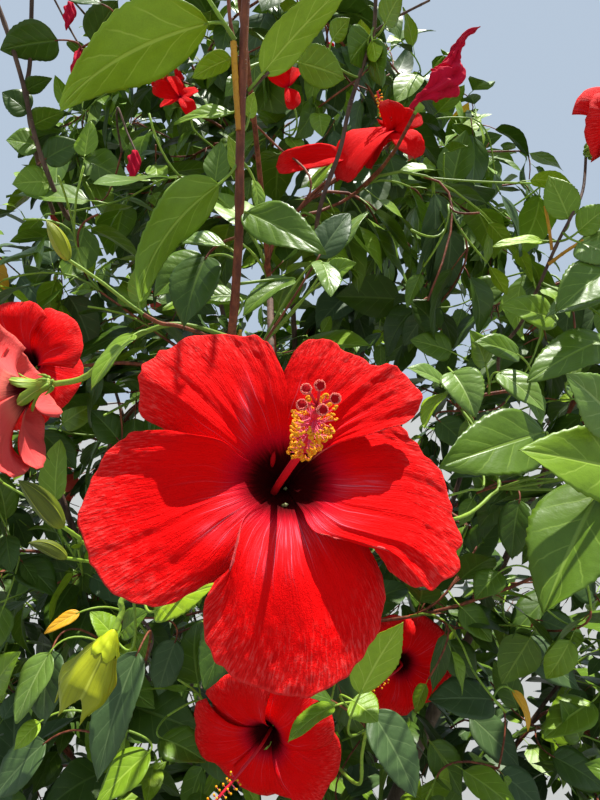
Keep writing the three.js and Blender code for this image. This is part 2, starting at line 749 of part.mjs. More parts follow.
/** The twigs at the front bloom: its own stalk, the shoot that stands behind it and the blooms near it. */
function growFrontTwigs(mass) {
  growTwig(mass, new THREE.Vector3(...FRONT_SHOOT_TIP));
  const { footRadius, tipRadius, straight } = FRONT_STALK;
  const stalkFoot = frontBloomFoot();
  const [joint] = bestJoints(mass, stalkFoot);
  const bend = stalkFoot.clone().addScaledVector(frontFacing, -straight);
  const curve = new THREE.QuadraticBezierCurve3(joint.point.clone(), bend, stalkFoot);
  addTwig(mass, curve, footRadius, tipRadius, false, 4);
  for (const { at, facing, open } of NEAR_BLOOMS) {
    const [right, back, up] = at;
    const point = frontThroat.clone().add(new THREE.Vector3(right, back, up));
    growBloom(mass, point, new THREE.Vector3(...facing).normalize(), open);
  }
}

/** A plain dull finish. */
function finish(name, color, roughness) {
  return new THREE.MeshStandardMaterial({ name, color, roughness, metalness: 0 });
}

const FINISH = {
  bark: finish("bark", 0x7d6a58, 0.9),
  foliage: finish("foliage", 0x3f6b1f, 0.45),
  petals: finish("petals", 0xd3120f, 0.6),
};

const shrub = new THREE.Group();

/** Hangs a named piece on the shrub. */
function addPiece(name, geometry, material) {
  const mesh = new THREE.Mesh(geometry, material);
  mesh.name = name;
  shrub.add(mesh);
}

addPiece("trunk", geometryOf(footSolid()), FINISH.bark);
const grownLimbs = [footSolid(CLEARANCE)];
for (const limb of limbs) {
  const cut = grownLimbs.reduce((solid, other) => solid.subtract(other), limb.shape(0));
  addPiece(limb.name, geometryOf(largestPiece(cut)), FINISH.bark);
  grownLimbs.push(limb.shape(CLEARANCE));
}
addPiece("bloom_front", geometryOf(frontBloomSolid()), FINISH.petals);
for (const mass of masses) {
  growStem(mass);
  if (mass === frontMass) growFrontTwigs(mass);
  else growBlooms(mass);
  growTwigs(mass, TWIG.perMass, TWIG.spacing);
  addPiece(mass.name, massGeometry(mass), FINISH.foliage);
}

export default shrub;
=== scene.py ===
"""The looks of a red-flowered hibiscus shrub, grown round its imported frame. Metres, +Z up, front at -Y."""

import logging
import math
from dataclasses import dataclass, field, replace
from enum import IntEnum
from typing import Any, Sequence

import bpy
import numpy as np
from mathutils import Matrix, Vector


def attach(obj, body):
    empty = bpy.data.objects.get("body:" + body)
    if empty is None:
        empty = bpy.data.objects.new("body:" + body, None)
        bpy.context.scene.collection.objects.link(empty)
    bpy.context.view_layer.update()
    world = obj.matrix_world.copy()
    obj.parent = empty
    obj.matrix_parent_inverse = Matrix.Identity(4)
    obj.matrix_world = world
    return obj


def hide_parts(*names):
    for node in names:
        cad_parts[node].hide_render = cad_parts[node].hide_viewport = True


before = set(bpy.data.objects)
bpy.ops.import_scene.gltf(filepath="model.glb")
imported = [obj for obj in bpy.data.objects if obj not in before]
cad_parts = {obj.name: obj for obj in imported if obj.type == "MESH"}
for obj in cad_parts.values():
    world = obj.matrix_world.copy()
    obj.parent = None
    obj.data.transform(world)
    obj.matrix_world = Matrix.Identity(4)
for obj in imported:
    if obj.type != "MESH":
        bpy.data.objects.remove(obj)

LOG = logging.getLogger("shrub")
Array = np.ndarray
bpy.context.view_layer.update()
BODY = "root"
GOLDEN_ANGLE = math.radians(137.5)
Triple = tuple[float, float, float]
Colour = Triple


def unit(vectors: Array) -> Array:
    """The given vectors, each divided by its own length.

    Args:
        vectors: vectors along the last axis.

    Returns:
        The same vectors with length one.
    """
    lengths = np.linalg.norm(vectors, axis=-1, keepdims=True)
    return vectors / np.maximum(lengths, 1e-12)


def smooth(value: Array | float, low: float, high: float) -> Array | float:
    """A soft step: 0 below low, 1 above high, and three t squared less two t cubed in between.

    Args:
        value: where to look.
        low: where the step starts.
        high: where the step ends.

    Returns:
        The step's height, from 0 to 1.
    """
    t = np.clip((value - low) / (high - low), 0.0, 1.0)
    return t * t * (3.0 - 2.0 * t)


def across_of(headings: Array) -> Array:
    """A unit vector across each heading: its cross product with +Z, or with +X where it runs nearly upright.

    Args:
        headings: unit vectors along the last axis.

    Returns:
        Unit vectors square to the headings.
    """
    helper = np.where(np.abs(headings[..., 2:3]) < 0.9, [0.0, 0.0, 1.0], [1.0, 0.0, 0.0])
    return unit(np.cross(headings, helper))


def turns(count: int) -> Array:
    """Even steps of one full turn, in radians from 0."""
    return np.linspace(0, 2 * math.pi, count, endpoint=False)


def around(axis: Array, turn: Array) -> Array:
    """Unit vectors square to an axis: cos times the way across it, plus sin times the way across both.

    Args:
        axis: a unit vector, or several along the last axis.
        turn: the angles, which rise anticlockwise as seen from the axis's tip.

    Returns:
        One vector for each angle.
    """
    side = across_of(axis)
    return np.cos(turn)[..., None] * side + np.sin(turn)[..., None] * np.cross(axis, side)


def spline(points: Array, count: int) -> Array:
    """A smooth line through points: a Catmull-Rom curve, whose slope at a point joins its two neighbours.

    Args:
        points: the points to pass through, one a row.
        count: how many points the line is to have.

    Returns:
        Points along the line, one a row.
    """
    points = np.asarray(points, float)
    share = np.linspace(0.0, len(points) - 1.0, count)
    piece = np.minimum(share.astype(int), len(points) - 2)
    t = (share - piece)[:, None]
    before, start = points[np.maximum(piece - 1, 0)], points[piece]
    end, after = points[piece + 1], points[np.minimum(piece + 2, len(points) - 1)]
    slope_in, slope_out = (end - before) / 2, (after - start) / 2
    return (
        start
        + slope_in * t
        + (-3 * start + 3 * end - 2 * slope_in - slope_out) * t**2
        + (2 * start - 2 * end + slope_in + slope_out) * t**3
    )


def lattice_noise(x: Array, y: Array, seed: int) -> Array:
    """Soft noise from -1 to 1: a seeded number on each whole-numbered point, smoothly filled in between.

    Args:
        x: first coordinate.
        y: second coordinate, of the same shape.
        seed: picks one noise out of many.

    Returns:
        The noise at each place.
    """
    table = np.random.default_rng(seed).uniform(-1.0, 1.0, (64, 64))
    column, row = np.floor(x).astype(int), np.floor(y).astype(int)
    fx, fy = smooth(x - column, 0.0, 1.0), smooth(y - row, 0.0, 1.0)
    near = table[row % 64, column % 64] * (1 - fx) + table[row % 64, (column + 1) % 64] * fx
    far = table[(row + 1) % 64, column % 64] * (1 - fx) + table[(row + 1) % 64, (column + 1) % 64] * fx
    return near * (1 - fy) + far * fy


class Seeded:
    """Numbers from 0 to 1 that are the same on every run, and the same as the part's source draws."""

    def __init__(self, seed: int) -> None:
        """Starts the row of numbers that belongs to a seed."""
        self.state = (seed * 7919 + 104729) % 2**32

    def __call__(self) -> float:
        """The next number."""
        self.state = (self.state * 1664525 + 1013904223) % 2**32
        return self.state / 2**32


@dataclass(frozen=True)
class PhotoView:
    """Where the photograph was taken from, looking level along +Y, and how it maps on its pixels."""

    width: int = 600
    height: int = 800
    focal: float = 601.0
    eye: Triple = (0.007, -1.09, 1.304)

    def point(self, across: float, down: float, depth: float) -> Array:
        """The place seen at a pixel: depth times (pixel - middle) / focal, from the eye.

        Args:
            across: pixels from the left edge.
            down: pixels from the top edge.
            depth: metres away from the eye.

        Returns:
            The place.
        """
        right = (across - self.width / 2) / self.focal * depth
        up = (self.height / 2 - down) / self.focal * depth
        return np.array(self.eye) + np.array([right, depth, up])

    def points(self, sights: Sequence[Triple]) -> Array:
        """The places seen at several (across, down, depth) sights, one a row."""
        return np.array([self.point(*sight) for sight in sights])

    def on_plane(self, across: float, down: float, origin: Array, normal: Array) -> Array:
        """The place on a plane that a pixel shows: the eye plus the sight line as far as the plane.

        Args:
            across: pixels from the left edge.
            down: pixels from the top edge.
            origin: a point of the plane.
            normal: the plane's unit normal.

        Returns:
            The point of the plane.
        """
        line = self.point(across, down, 1.0) - np.array(self.eye)
        return np.array(self.eye) + line * ((origin - np.array(self.eye)) @ normal) / (line @ normal)

    def pixels(self, points: Array) -> tuple[Array, Array]:
        """The pixels that points are seen at: across and down.

        Args:
            points: the points, along the last axis.

        Returns:
            Pixels from the left edge, and from the top edge.
        """
        away = points - np.array(self.eye)
        return (self.width / 2 + self.focal * away[..., 0] / away[..., 1],
                self.height / 2 - self.focal * away[..., 2] / away[..., 1])

    def depth_and_offset(self, points: Array) -> tuple[Array, Array]:
        """How deep points lie, and how far off the middle: 1 at the frame's nearer edge, more outside it.

        Args:
            points: the points, along the last axis.

        Returns:
            The depths in metres, and the offsets.
        """
        away = points - np.array(self.eye)
        depth = np.maximum(away[..., 1], 1e-6)
        across = np.abs(away[..., 0]) / depth * self.focal / (self.width / 2)
        up = np.abs(away[..., 2]) / depth * self.focal / (self.height / 2)
        return away[..., 1], np.maximum(across, up)


VIEW = PhotoView()


# Meshes


@dataclass
class Surface:
    """Points with faces on them, each with a tone: the number of the finish that it wears.

    A petal's points also have three numbers of their own: its reach, from 0 at the claw to 1 at the margin,
    how far out of the dark eye they are, at whose edge it is 1, and how pale they are.
    """

    points: Array
    faces: list[Array]
    tones: list[Array]
    uv: Array
    petal: Array | None = None

    @staticmethod
    def joined(parts: Sequence["Surface"]) -> "Surface":
        """Several surfaces as one, each with its faces renumbered by the points that come before it.

        Args:
            parts: the surfaces, in the order that their points are to have.

        Returns:
            The one surface.
        """
        faces: list[Array] = []
        tones: list[Array] = []
        offset = 0
        for part in parts:
            faces += [block + offset for block in part.faces]
            tones += part.tones
            offset += len(part.points)
        points = np.concatenate([part.points for part in parts])
        petal = [np.zeros((len(part.points), 3)) if part.petal is None else part.petal for part in parts]
        return Surface(points, faces, tones, np.concatenate([part.uv for part in parts]),
                       np.concatenate(petal))

    def triangles(self) -> int:
        """How many triangles the faces make."""
        return sum(len(block) * (block.shape[1] - 2) for block in self.faces)


def grid_faces(rows: int, columns: int, count: int = 1, wrapped: bool = False) -> Array:
    """Four-cornered faces of one or more grids of points, numbered row by row.

    Args:
        rows: points along a grid's first direction.
        columns: points along its second direction.
        count: how many such grids follow each other.
        wrapped: whether the last column joins the first.

    Returns:
        Corner numbers, four a row.
    """
    row, column = np.meshgrid(np.arange(rows - 1), np.arange(columns if wrapped else columns - 1),
                              indexing="ij")
    beside = (column + 1) % columns
    face = np.stack([row * columns + column, row * columns + beside,
                     (row + 1) * columns + beside, (row + 1) * columns + column], -1).reshape(-1, 4)
    return (face[None] + np.arange(count)[:, None, None] * rows * columns).reshape(-1, 4)


def sheets(points: Array, across: Array, along: Array, tones: Array) -> Surface:
    """Open sheets, each a grid of points, as one surface.

    Args:
        points: sheets by rows by columns by three. Faces point to the side where a row's way on, crossed with
            a column's, points back.
        across: the texture coordinate of each column, or of each point of a sheet.
        along: the texture coordinate of each row, or of each point of a sheet.
        tones: one tone a sheet.

    Returns:
        The surface.
    """
    count, rows, columns = points.shape[:3]
    faces = grid_faces(rows, columns, count)
    along = along[:, None] if along.ndim == 1 else along
    across = across[None, :] if across.ndim == 1 else across
    uv = np.stack(np.broadcast_arrays(across, along), -1)
    uv = np.broadcast_to(uv, (count, rows, columns, 2)).reshape(-1, 2)
    each = np.repeat(tones, (rows - 1) * (columns - 1))
    return Surface(points.reshape(-1, 3), [faces], [each], uv)


def closed_sheet(points: Array, across: Array, along: Array) -> Surface:
    """A sheet that is closed round an axis: one grid of points, whose last column joins the first.

    Args:
        points: rows by columns by three.
        across: the texture coordinate round the axis.
        along: the texture coordinate along it.

    Returns:
        The surface, all of it in the first tone.
    """
    faces = grid_faces(*points.shape[:2], wrapped=True)
    uv = np.stack(np.broadcast_arrays(across, along), -1).reshape(-1, 2)
    return Surface(points.reshape(-1, 3), [faces], [np.zeros(len(faces), int)], uv)


def tubes(paths: Array, radii: Array, sides: int, tones: Array | None = None) -> Surface:
    """Round rods along paths, closed at both ends: each path point plus its radius times the turning circle.

    Args:
        paths: rods by points by three.
        radii: rods by points, or rods by points by sides where a rod isn't round.
        sides: points round each rod.
        tones: one tone a rod.

    Returns:
        The surface, its faces pointing out.
    """
    count, rings = paths.shape[:2]
    heading = unit(np.gradient(paths, axis=1))
    mean = np.abs(heading.mean(1))
    helper = np.eye(3)[np.argmin(mean, -1)][:, None, :]
    side = unit(np.cross(heading, helper))
    over = np.cross(heading, side)
    turn = turns(sides)
    circle = np.cos(turn)[:, None] * side[:, :, None] + np.sin(turn)[:, None] * over[:, :, None]
    radii = radii[..., None] if radii.ndim == 2 else radii
    skin = (paths[:, :, None] + radii[..., None] * circle).reshape(-1, 3)
    poles = np.concatenate([paths[:, 0], paths[:, -1]])
    foot = np.arange(count)[:, None] * rings * sides + np.arange(sides)
    tip = foot + (rings - 1) * sides
    pole = count * rings * sides + np.arange(count)[:, None] + np.zeros((1, sides), int)
    caps = [np.stack([pole, np.roll(foot, -1, 1), foot], -1),
            np.stack([pole + count, tip, np.roll(tip, -1, 1)], -1)]
    tones = np.zeros(count, int) if tones is None else tones
    across = np.broadcast_to(np.arange(sides) / sides, (count, rings, sides))
    along = np.broadcast_to(np.linspace(0, 1, rings)[None, :, None], (count, rings, sides))
    uv = np.concatenate([np.stack([across, along], -1).reshape(-1, 2),
                         np.tile([0.5, 0.0], (count, 1)), np.tile([0.5, 1.0], (count, 1))])
    return Surface(
        np.concatenate([skin, poles]),
        [grid_faces(rings, sides, count, wrapped=True)] + [cap.reshape(-1, 3) for cap in caps],
        [np.repeat(tones, (rings - 1) * sides)] + [np.repeat(tones, sides)] * 2,
        uv,
    )


def make_piece(
    name: str,
    surface: Surface,
    finishes: Sequence[bpy.types.Material],
    nodes: Sequence[str] = (),
    thickness: float = 0.0,
    back: bpy.types.Material | None = None,
) -> bpy.types.Object:
    """Turns a surface into a piece of the shrub.

    Args:
        name: the piece's name.
        surface: its points and faces.
        finishes: its materials, in the order of the tones.
        nodes: the frame's nodes that the piece stands for.
        thickness: how thick a sheet is made, or 0 for what is closed already or stays a sheet.
        back: the material of a thickened sheet's other side.

    Returns:
        The object.
    """
    mesh = bpy.data.meshes.new(name)
    corners = np.concatenate([block.ravel() for block in surface.faces])
    sizes = np.concatenate([np.full(len(block), block.shape[1]) for block in surface.faces])
    starts = np.concatenate([[0], np.cumsum(sizes)[:-1]])
    mesh.vertices.add(len(surface.points))
    mesh.vertices.foreach_set("co", surface.points.astype(np.float32).ravel())
    mesh.loops.add(len(corners))
    mesh.loops.foreach_set("vertex_index", corners.astype(np.int32))
    mesh.polygons.add(len(sizes))
    mesh.polygons.foreach_set("loop_start", starts.astype(np.int32))
    mesh.polygons.foreach_set("loop_total", sizes.astype(np.int32))
    mesh.polygons.foreach_set("material_index", np.concatenate(surface.tones).astype(np.int32))
    mesh.polygons.foreach_set("use_smooth", np.ones(len(sizes), bool))
    mesh.uv_layers.new(name="UVMap").data.foreach_set("uv", surface.uv[corners].astype(np.float32).ravel())
    if surface.petal is not None:
        values = surface.petal.astype(np.float32).ravel()
        mesh.attributes.new("petal", "FLOAT_VECTOR", "POINT").data.foreach_set("vector", values)
    mesh.update(calc_edges=True)
    mesh.validate()
    for finish in finishes:
        mesh.materials.append(finish)
    piece = bpy.data.objects.new(name, mesh)
    bpy.context.scene.collection.objects.link(piece)
    if thickness:
        shell = piece.modifiers.new("thickness", "SOLIDIFY")
        shell.thickness = thickness
        shell.offset = -1.0
        if back:
            mesh.materials.append(back)
            shell.material_offset = len(finishes)
    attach(piece, BODY)
    if nodes:
        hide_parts(*nodes)
    LOG.info("%s: %d triangles, %d nodes replaced", name, surface.triangles(), len(nodes))
    return piece


# Finishes


class Socket:
    """A value on its way through a material's nodes. Sums on it add Math nodes."""

    def __init__(self, shader: "Shader", socket: bpy.types.NodeSocket) -> None:
        """Wraps a node's output."""
        self.shader = shader
        self.socket = socket

    def maths(self, operation: str, *values: "Socket | float") -> "Socket":
        """One Math node on the given values."""
        return self.shader.node("ShaderNodeMath", {"operation": operation}, dict(enumerate(values)))

    def __add__(self, other: "Socket | float") -> "Socket":
        """Sum."""
        return self.maths("ADD", self, other)

    def __radd__(self, other: float) -> "Socket":
        """Sum."""
        return self.maths("ADD", other, self)

    def __sub__(self, other: "Socket | float") -> "Socket":
        """Difference."""
        return self.maths("SUBTRACT", self, other)

    def __rsub__(self, other: float) -> "Socket":
        """Difference from a number."""
        return self.maths("SUBTRACT", other, self)

    def __mul__(self, other: "Socket | float") -> "Socket":
        """Product."""
        return self.maths("MULTIPLY", self, other)

    def __rmul__(self, other: float) -> "Socket":
        """Product."""
        return self.maths("MULTIPLY", other, self)

    def __pow__(self, other: "Socket | float") -> "Socket":
        """Power."""
        return self.maths("POWER", self, other)

    def __abs__(self) -> "Socket":
        """Size without sign."""
        return self.maths("ABSOLUTE", self)

    def fraction(self) -> "Socket":
        """What is left after the whole part is taken off."""
        return self.maths("FRACT", self)

    def step(self, low: float, high: float) -> "Socket":
        """A soft step from 0 at low to 1 at high; low may be the larger.

        Args:
            low: where the step starts.
            high: where the step ends.

        Returns:
            The step's height.
        """
        return self.shader.node(
            "ShaderNodeMapRange",
            {"interpolation_type": "SMOOTHSTEP", "clamp": True},
            {"Value": self, "From Min": low, "From Max": high, "To Min": 0.0, "To Max": 1.0},
        )


class Shader:
    """Builds one material out of nodes."""

    def __init__(self, name: str) -> None:
        """Starts an empty material.

        Args:
            name: the material's name.
        """
        self.material = bpy.data.materials.new(name)
        self.material.use_nodes = True
        self.tree = self.material.node_tree
        self.tree.nodes.clear()

    def node(
        self,
        kind: str,
        settings: dict[str, Any] | None = None,
        sockets: dict[Any, Any] | None = None,
        out: int | str = 0,
    ) -> Socket:
        """Adds a node.

        Args:
            kind: the node's type.
            settings: its own settings, set first.
            sockets: a value or a link for each of its inputs, by name or number.
            out: the output that is wanted.

        Returns:
            That output.
        """
        made = self.tree.nodes.new(kind)
        for name, value in (settings or {}).items():
            setattr(made, name, value)
        for name, value in (sockets or {}).items():
            if isinstance(value, Socket):
                self.tree.links.new(value.socket, made.inputs[name])
            else:
                made.inputs[name].default_value = value
        return Socket(self, made.outputs[out])

    def parts(self, vector: Socket) -> tuple[Socket, ...]:
        """The three parts of a vector."""
        split = self.node("ShaderNodeSeparateXYZ", None, {0: vector})
        return tuple(Socket(self, output) for output in split.socket.node.outputs)

    def mix(self, share: Socket | float, one: Socket | Colour, other: Socket | Colour) -> Socket:
        """Mixes two colours: all of one at share 0, all of the other at share 1."""
        one, other = ((*c, 1.0) if isinstance(c, tuple) else c for c in (one, other))
        return self.node("ShaderNodeMix", {"data_type": "RGBA"}, {0: share, 6: one, 7: other}, 2)

    def layers(self, colour: Socket | Colour, *layers: tuple[Socket, Colour]) -> Socket | Colour:
        """Lays colours over a first one, each as thick as its mask: a chain of mixes.

        Args:
            colour: the first colour.
            *layers: a mask and a colour for each layer.

        Returns:
            The colour that shows.
        """
        for mask, tint in layers:
            colour = self.mix(mask, colour, tint)
        return colour

    def noise(self, place: Socket, scale: float, detail: float = 3.0, roughness: float = 0.55) -> Socket:
        """Cloudy noise from 0 to 1 at a place."""
        numbers = {"Vector": place, "Scale": scale, "Detail": detail, "Roughness": roughness}
        return self.node("ShaderNodeTexNoise", None, numbers)

    def texture_place(self) -> tuple[Socket, ...]:
        """The piece's own texture coordinates: across and along."""
        return self.parts(self.node("ShaderNodeUVMap", {"uv_map": "UVMap"}))[:2]

    def place(self, across: Socket | float, along: Socket | float, third: Socket | float = 0.0) -> Socket:
        """A vector from three values."""
        return self.node("ShaderNodeCombineXYZ", None, {0: across, 1: along, 2: third})

    def object_place(self) -> Socket:
        """Where on the shrub a point lies, in metres."""
        return self.node("ShaderNodeTexCoord", None, None, "Object")

    def petal_place(self) -> tuple[Socket, ...]:
        """A petal's own numbers: its reach, how far out of the eye a point is, and how pale."""
        return self.parts(self.node("ShaderNodeAttribute", {"attribute_name": "petal"}, None, "Vector"))

    def bump(self, height: Socket, distance: float, strength: float = 1.0) -> Socket:
        """A normal that is tipped as relief of a height times a distance would tip it."""
        return self.node("ShaderNodeBump", None,
                         {"Height": height, "Distance": distance, "Strength": strength})

    def surface(self, **sockets: Any) -> bpy.types.Material:
        """Ends the material with a Principled surface.

        Args:
            **sockets: a value or a link for each input, named with _ for a space.

        Returns:
            The material.
        """
        named = {name.replace("_", " "): value for name, value in sockets.items()}
        shown = {name: (*value, 1.0) if isinstance(value, tuple) else value for name, value in named.items()}
        lit = self.node("ShaderNodeBsdfPrincipled", None, shown)
        output = self.tree.nodes.new("ShaderNodeOutputMaterial")
        self.tree.links.new(lit.socket, output.inputs["Surface"])
        return self.material

@dataclass(frozen=True)
class LeafFinish:
    """A leaf's looks: a smooth glossy blade between a pale midrib and thin pale side veins."""

    name: str
    blade: Colour
    vein: Colour
    roughness: float = 0.34
    side_veins: float = 5.0
    vein_share: float = 0.6

    def material(self) -> bpy.types.Material:
        """Builds the material. Side veins lie where the fraction of veins times (along - 0.3 side) is near
        0.5.

        Returns:
            The material.
        """
        shader = Shader(self.name)
        across, along = shader.texture_place()
        side = abs(across - 0.5) * 2.0
        midrib = side.step(0.07, 0.022)
        place = shader.place(across * 2.0, along * 3.5)
        blotch = shader.noise(place, 3.0)
        fine = shader.noise(place, 26.0, 2.0)
        wave = ((along - (side ** 0.8) * 0.3 + (blotch - 0.5) * 0.03) * self.side_veins).fraction()
        near_vein = abs(wave - 0.5)
        vein = near_vein.step(0.052, 0.01) * side.step(0.96, 0.6)
        lines = midrib.maths("MAXIMUM", midrib, vein * 0.75)
        blade = shader.mix((blotch - 0.5) * 0.9 + (fine - 0.5) * 0.5 + 0.3,
                           self.blade, tuple(c * 0.58 for c in self.blade))
        colour = shader.mix(lines * self.vein_share, blade, self.vein)
        quilt = near_vein.step(0.0, 0.35) * side.step(0.0, 0.2)
        height = quilt * 0.34 + midrib * -0.5 + blotch * 0.5 + fine * 0.1
        return shader.surface(
            Base_Color=colour,
            Roughness=fine * 0.16 + (self.roughness - 0.08),
            Normal=shader.bump(height, 0.0009, 0.6),
            Specular_IOR_Level=0.32,
        )


@dataclass(frozen=True)
class PetalFinish:
    """A petal's looks: velvety scarlet with a near-black eye, pale veins at its base and fine crinkles, and
    painted light: pale pink sheen and highlights at the margin and on crease crests, deep red shade in the
    creases and crinkles.
    """

    name: str = "petal_scarlet"
    scarlet: Colour = (0.9, 0.002, 0.0025)
    # deep: the darker red of the streaks and hairs, and also painted shade in the creases and crinkles
    deep: Colour = (0.34, 0.0005, 0.0018)
    magenta: Colour = (0.46, 0.0015, 0.018)
    eye: Colour = (0.038, 0.0006, 0.0012)
    vein: Colour = (0.92, 0.17, 0.24)
    # rim: painted sheen on the outer petal and a painted highlight along the margin
    rim: Colour = (0.86, 0.042, 0.036)
    # the next colour is a painted highlight on the crests of the creases
    crest_highlight: Colour = (0.88, 0.12, 0.105)
    roughness: float = 0.62

    def material(self) -> bpy.types.Material:
        """Builds the material. Pale pink sheen and highlights are painted towards the margin and on crease
        crests, and deep red shade in the creases and crinkles.

        Across runs from edge to edge and along is the distance from the throat. Past 1, out leaves the dark
        eye.

        Returns:
            The material.
        """
        shader = Shader(self.name)
        across, along = shader.texture_place()
        reach, out, pale = shader.petal_place()
        streak = shader.noise(shader.place(across * 30.0, along * 2.4), 1.0, 4.0, 0.6)
        hair = shader.noise(shader.place(across * 95.0, along * 5.0), 1.0, 2.0)
        cloud = shader.noise(shader.place(across * 3.2, along * 2.6), 1.6, 3.0)
        crinkle = shader.noise(shader.place(across * 95.0, along * 42.0), 1.0, 4.0, 0.7)
        crease = shader.noise(shader.place(across * 110.0, along * 15.0), 1.0, 3.0, 0.62)
        outer = reach.step(0.64, 1.0)
        # Fine velvet noise: it tips the normal, and its bright spots are also painted sheen towards the margin
        velvet_and_sheen = shader.noise(shader.object_place(), 2600.0, 2.0, 0.7)
        wander = shader.noise(shader.place(across * 3.0, along * 3.0), 1.0, 1.0)
        ray = (across * 9.0 + (wander - 0.5) * 0.9).fraction()
        uneven = shader.noise(shader.place(across * 5.5, 3.0), 1.0, 1.0).step(0.46, 0.62)
        basal = along.step(0.18, 0.3) * along.step(0.66, 0.34)
        line = abs(ray - 0.5).step(0.036, 0.006) * basal * (uneven * 0.4 + pale * 1.9)
        fibre = hair.step(0.5, 0.68) * (uneven * 0.06 + pale * 0.42) * basal.step(0.0, 0.5)
        ragged = out + (streak - 0.5) * 0.5 + (hair - 0.5) * 0.2
        colour = shader.layers(
            self.scarlet,
            (streak.step(0.5, 0.75) * 0.22, self.deep),
            (hair.step(0.54, 0.72) * 0.16, self.deep),
            (cloud.step(0.44, 0.75) * 0.06, self.deep),
            # painted sheen towards the margin
            (reach.step(0.8, 1.0) * 0.26, self.rim),
            # painted shade in the crinkles
            (reach.step(0.55, 0.92) * crinkle.step(0.48, 0.66) * 0.09, self.deep),
            # painted shade in the creases and a painted highlight on their crests
            (outer * crease.step(0.5, 0.38) * 0.42, self.deep),
            (outer * crease.step(0.5, 0.64) * 0.44, self.crest_highlight),
            (out.step(1.85, 1.05) * 0.75, self.magenta),
            (pale * 0.09, self.vein),
            (fibre, self.vein),
            (line, self.vein),
            (ragged.step(1.35, 0.7), self.eye),
            # painted highlight along the margin's edge
            (reach.step(0.98, 0.998) * 0.55, self.rim),
            # painted velvet sheen on the outer petal
            (velvet_and_sheen.step(0.52, 0.68) * reach.step(0.4, 0.9) * 0.1, self.rim),
        )
        crumpled = (crinkle * 0.7 + crease * 0.6) * reach
        height = streak * 0.6 + crumpled + hair * 0.45 + line * 0.3 + velvet_and_sheen * 0.2
        return shader.surface(
            Base_Color=colour,
            Roughness=self.roughness,
            Normal=shader.bump(height, 0.0011, 0.9),
            Specular_IOR_Level=0.04,
        )


@dataclass(frozen=True)
class BarkFinish:
    """Bark: two browns in long streaks, pale pores across them, rough all over."""

    name: str
    light: Colour
    dark: Colour
    pore: Colour
    scale: float = 60.0
    roughness: float = 0.82

    def material(self) -> bpy.types.Material:
        """Builds the material from noise that is drawn out four times along the trunk.

        Returns:
            The material.
        """
        shader = Shader(self.name)
        place = shader.node("ShaderNodeMapping", None, {0: shader.object_place(), 3: (1.0, 1.0, 0.25)})
        streak = shader.noise(place, self.scale, 5.0, 0.65)
        cross = shader.node("ShaderNodeMapping", None, {0: shader.object_place(), 3: (0.6, 0.6, 2.4)})
        pore = shader.noise(cross, self.scale * 2.6, 2.0).step(0.66, 0.74)
        colour = shader.layers(self.dark, (streak.step(0.34, 0.68), self.light), (pore * 0.6, self.pore))
        return shader.surface(
            Base_Color=colour,
            Roughness=self.roughness,
            Normal=shader.bump(streak + pore * 0.4, 0.0016, 0.9),
            Specular_IOR_Level=0.3,
        )


@dataclass(frozen=True)
class SoftFinish:
    """A small soft part's looks: one colour that shades into another along it, with a fine mottle."""

    name: str
    foot: Colour
    tip: Colour
    mottle: Colour
    roughness: float = 0.5
    scale: float = 420.0
    shine: float = 0.35

    def material(self) -> bpy.types.Material:
        """Builds the material from the coordinate along the part.

        Returns:
            The material.
        """
        shader = Shader(self.name)
        _, along = shader.texture_place()
        speck = shader.noise(shader.object_place(), self.scale, 3.0)
        mottled = speck.step(0.5, 0.72) * 0.6
        colour = shader.layers(self.foot, (along.step(0.1, 0.9), self.tip), (mottled, self.mottle))
        return shader.surface(
            Base_Color=colour,
            Roughness=self.roughness,
            Normal=shader.bump(speck, 0.0004, 0.6),
            Specular_IOR_Level=self.shine,
        )


@dataclass(frozen=True)
class SepalFinish:
    """A bud's or calyx's looks: five sepals, darker between their pale edges, with fine lines along. The pale
    raised edges and the darker band beside them are partly the sepals' own colour and partly painted light on
    the ridges and painted shade beside them.
    """

    name: str
    body: Colour
    # shade: partly the sepals' own darker green, partly painted shade beside the raised edges
    shade: Colour
    # edge: partly the sepals' own pale edge, partly a painted highlight on the raised ridge
    edge: Colour
    roughness: float = 0.48

    def material(self) -> bpy.types.Material:
        """Builds the material. An edge lies where five times the coordinate across is a whole number.

        Returns:
            The material.
        """
        shader = Shader(self.name)
        across, along = shader.texture_place()
        side = abs((across * 5.0).fraction() - 0.5) * 2.0
        lines = shader.noise(shader.place(across * 60.0, along * 1.5), 1.0, 2.0)
        speck = shader.noise(shader.object_place(), 420.0, 3.0)
        colour = shader.layers(
            self.body,
            # partly real colour, partly painted shade beside the edges
            (side.step(0.1, 0.8) * 0.5 + lines.step(0.45, 0.65) * 0.4, self.shade),
            # partly real colour, partly a painted highlight on the raised edges
            (side.step(0.86, 0.97) * 0.85, self.edge),
            (along.step(0.25, 0.0) * 0.6, self.edge),
        )
        return shader.surface(
            Base_Color=colour,
            Roughness=self.roughness,
            Normal=shader.bump(lines * 0.6 + side.step(0.8, 1.0) + speck * 0.2, 0.0007, 0.8),
            Specular_IOR_Level=0.35,
        )


class Tone(IntEnum):
    """The colours that are dealt out to leaves by spray, in the order of the leaves' materials."""

    DEEP = 0
    MID = 1
    FRESH = 2
    BRIGHT = 3
    BLUISH = 4
    PALE = 5
    YELLOWED = 6


DEEP, MID, FRESH, BRIGHT, BLUISH, PALE, YELLOWED = Tone

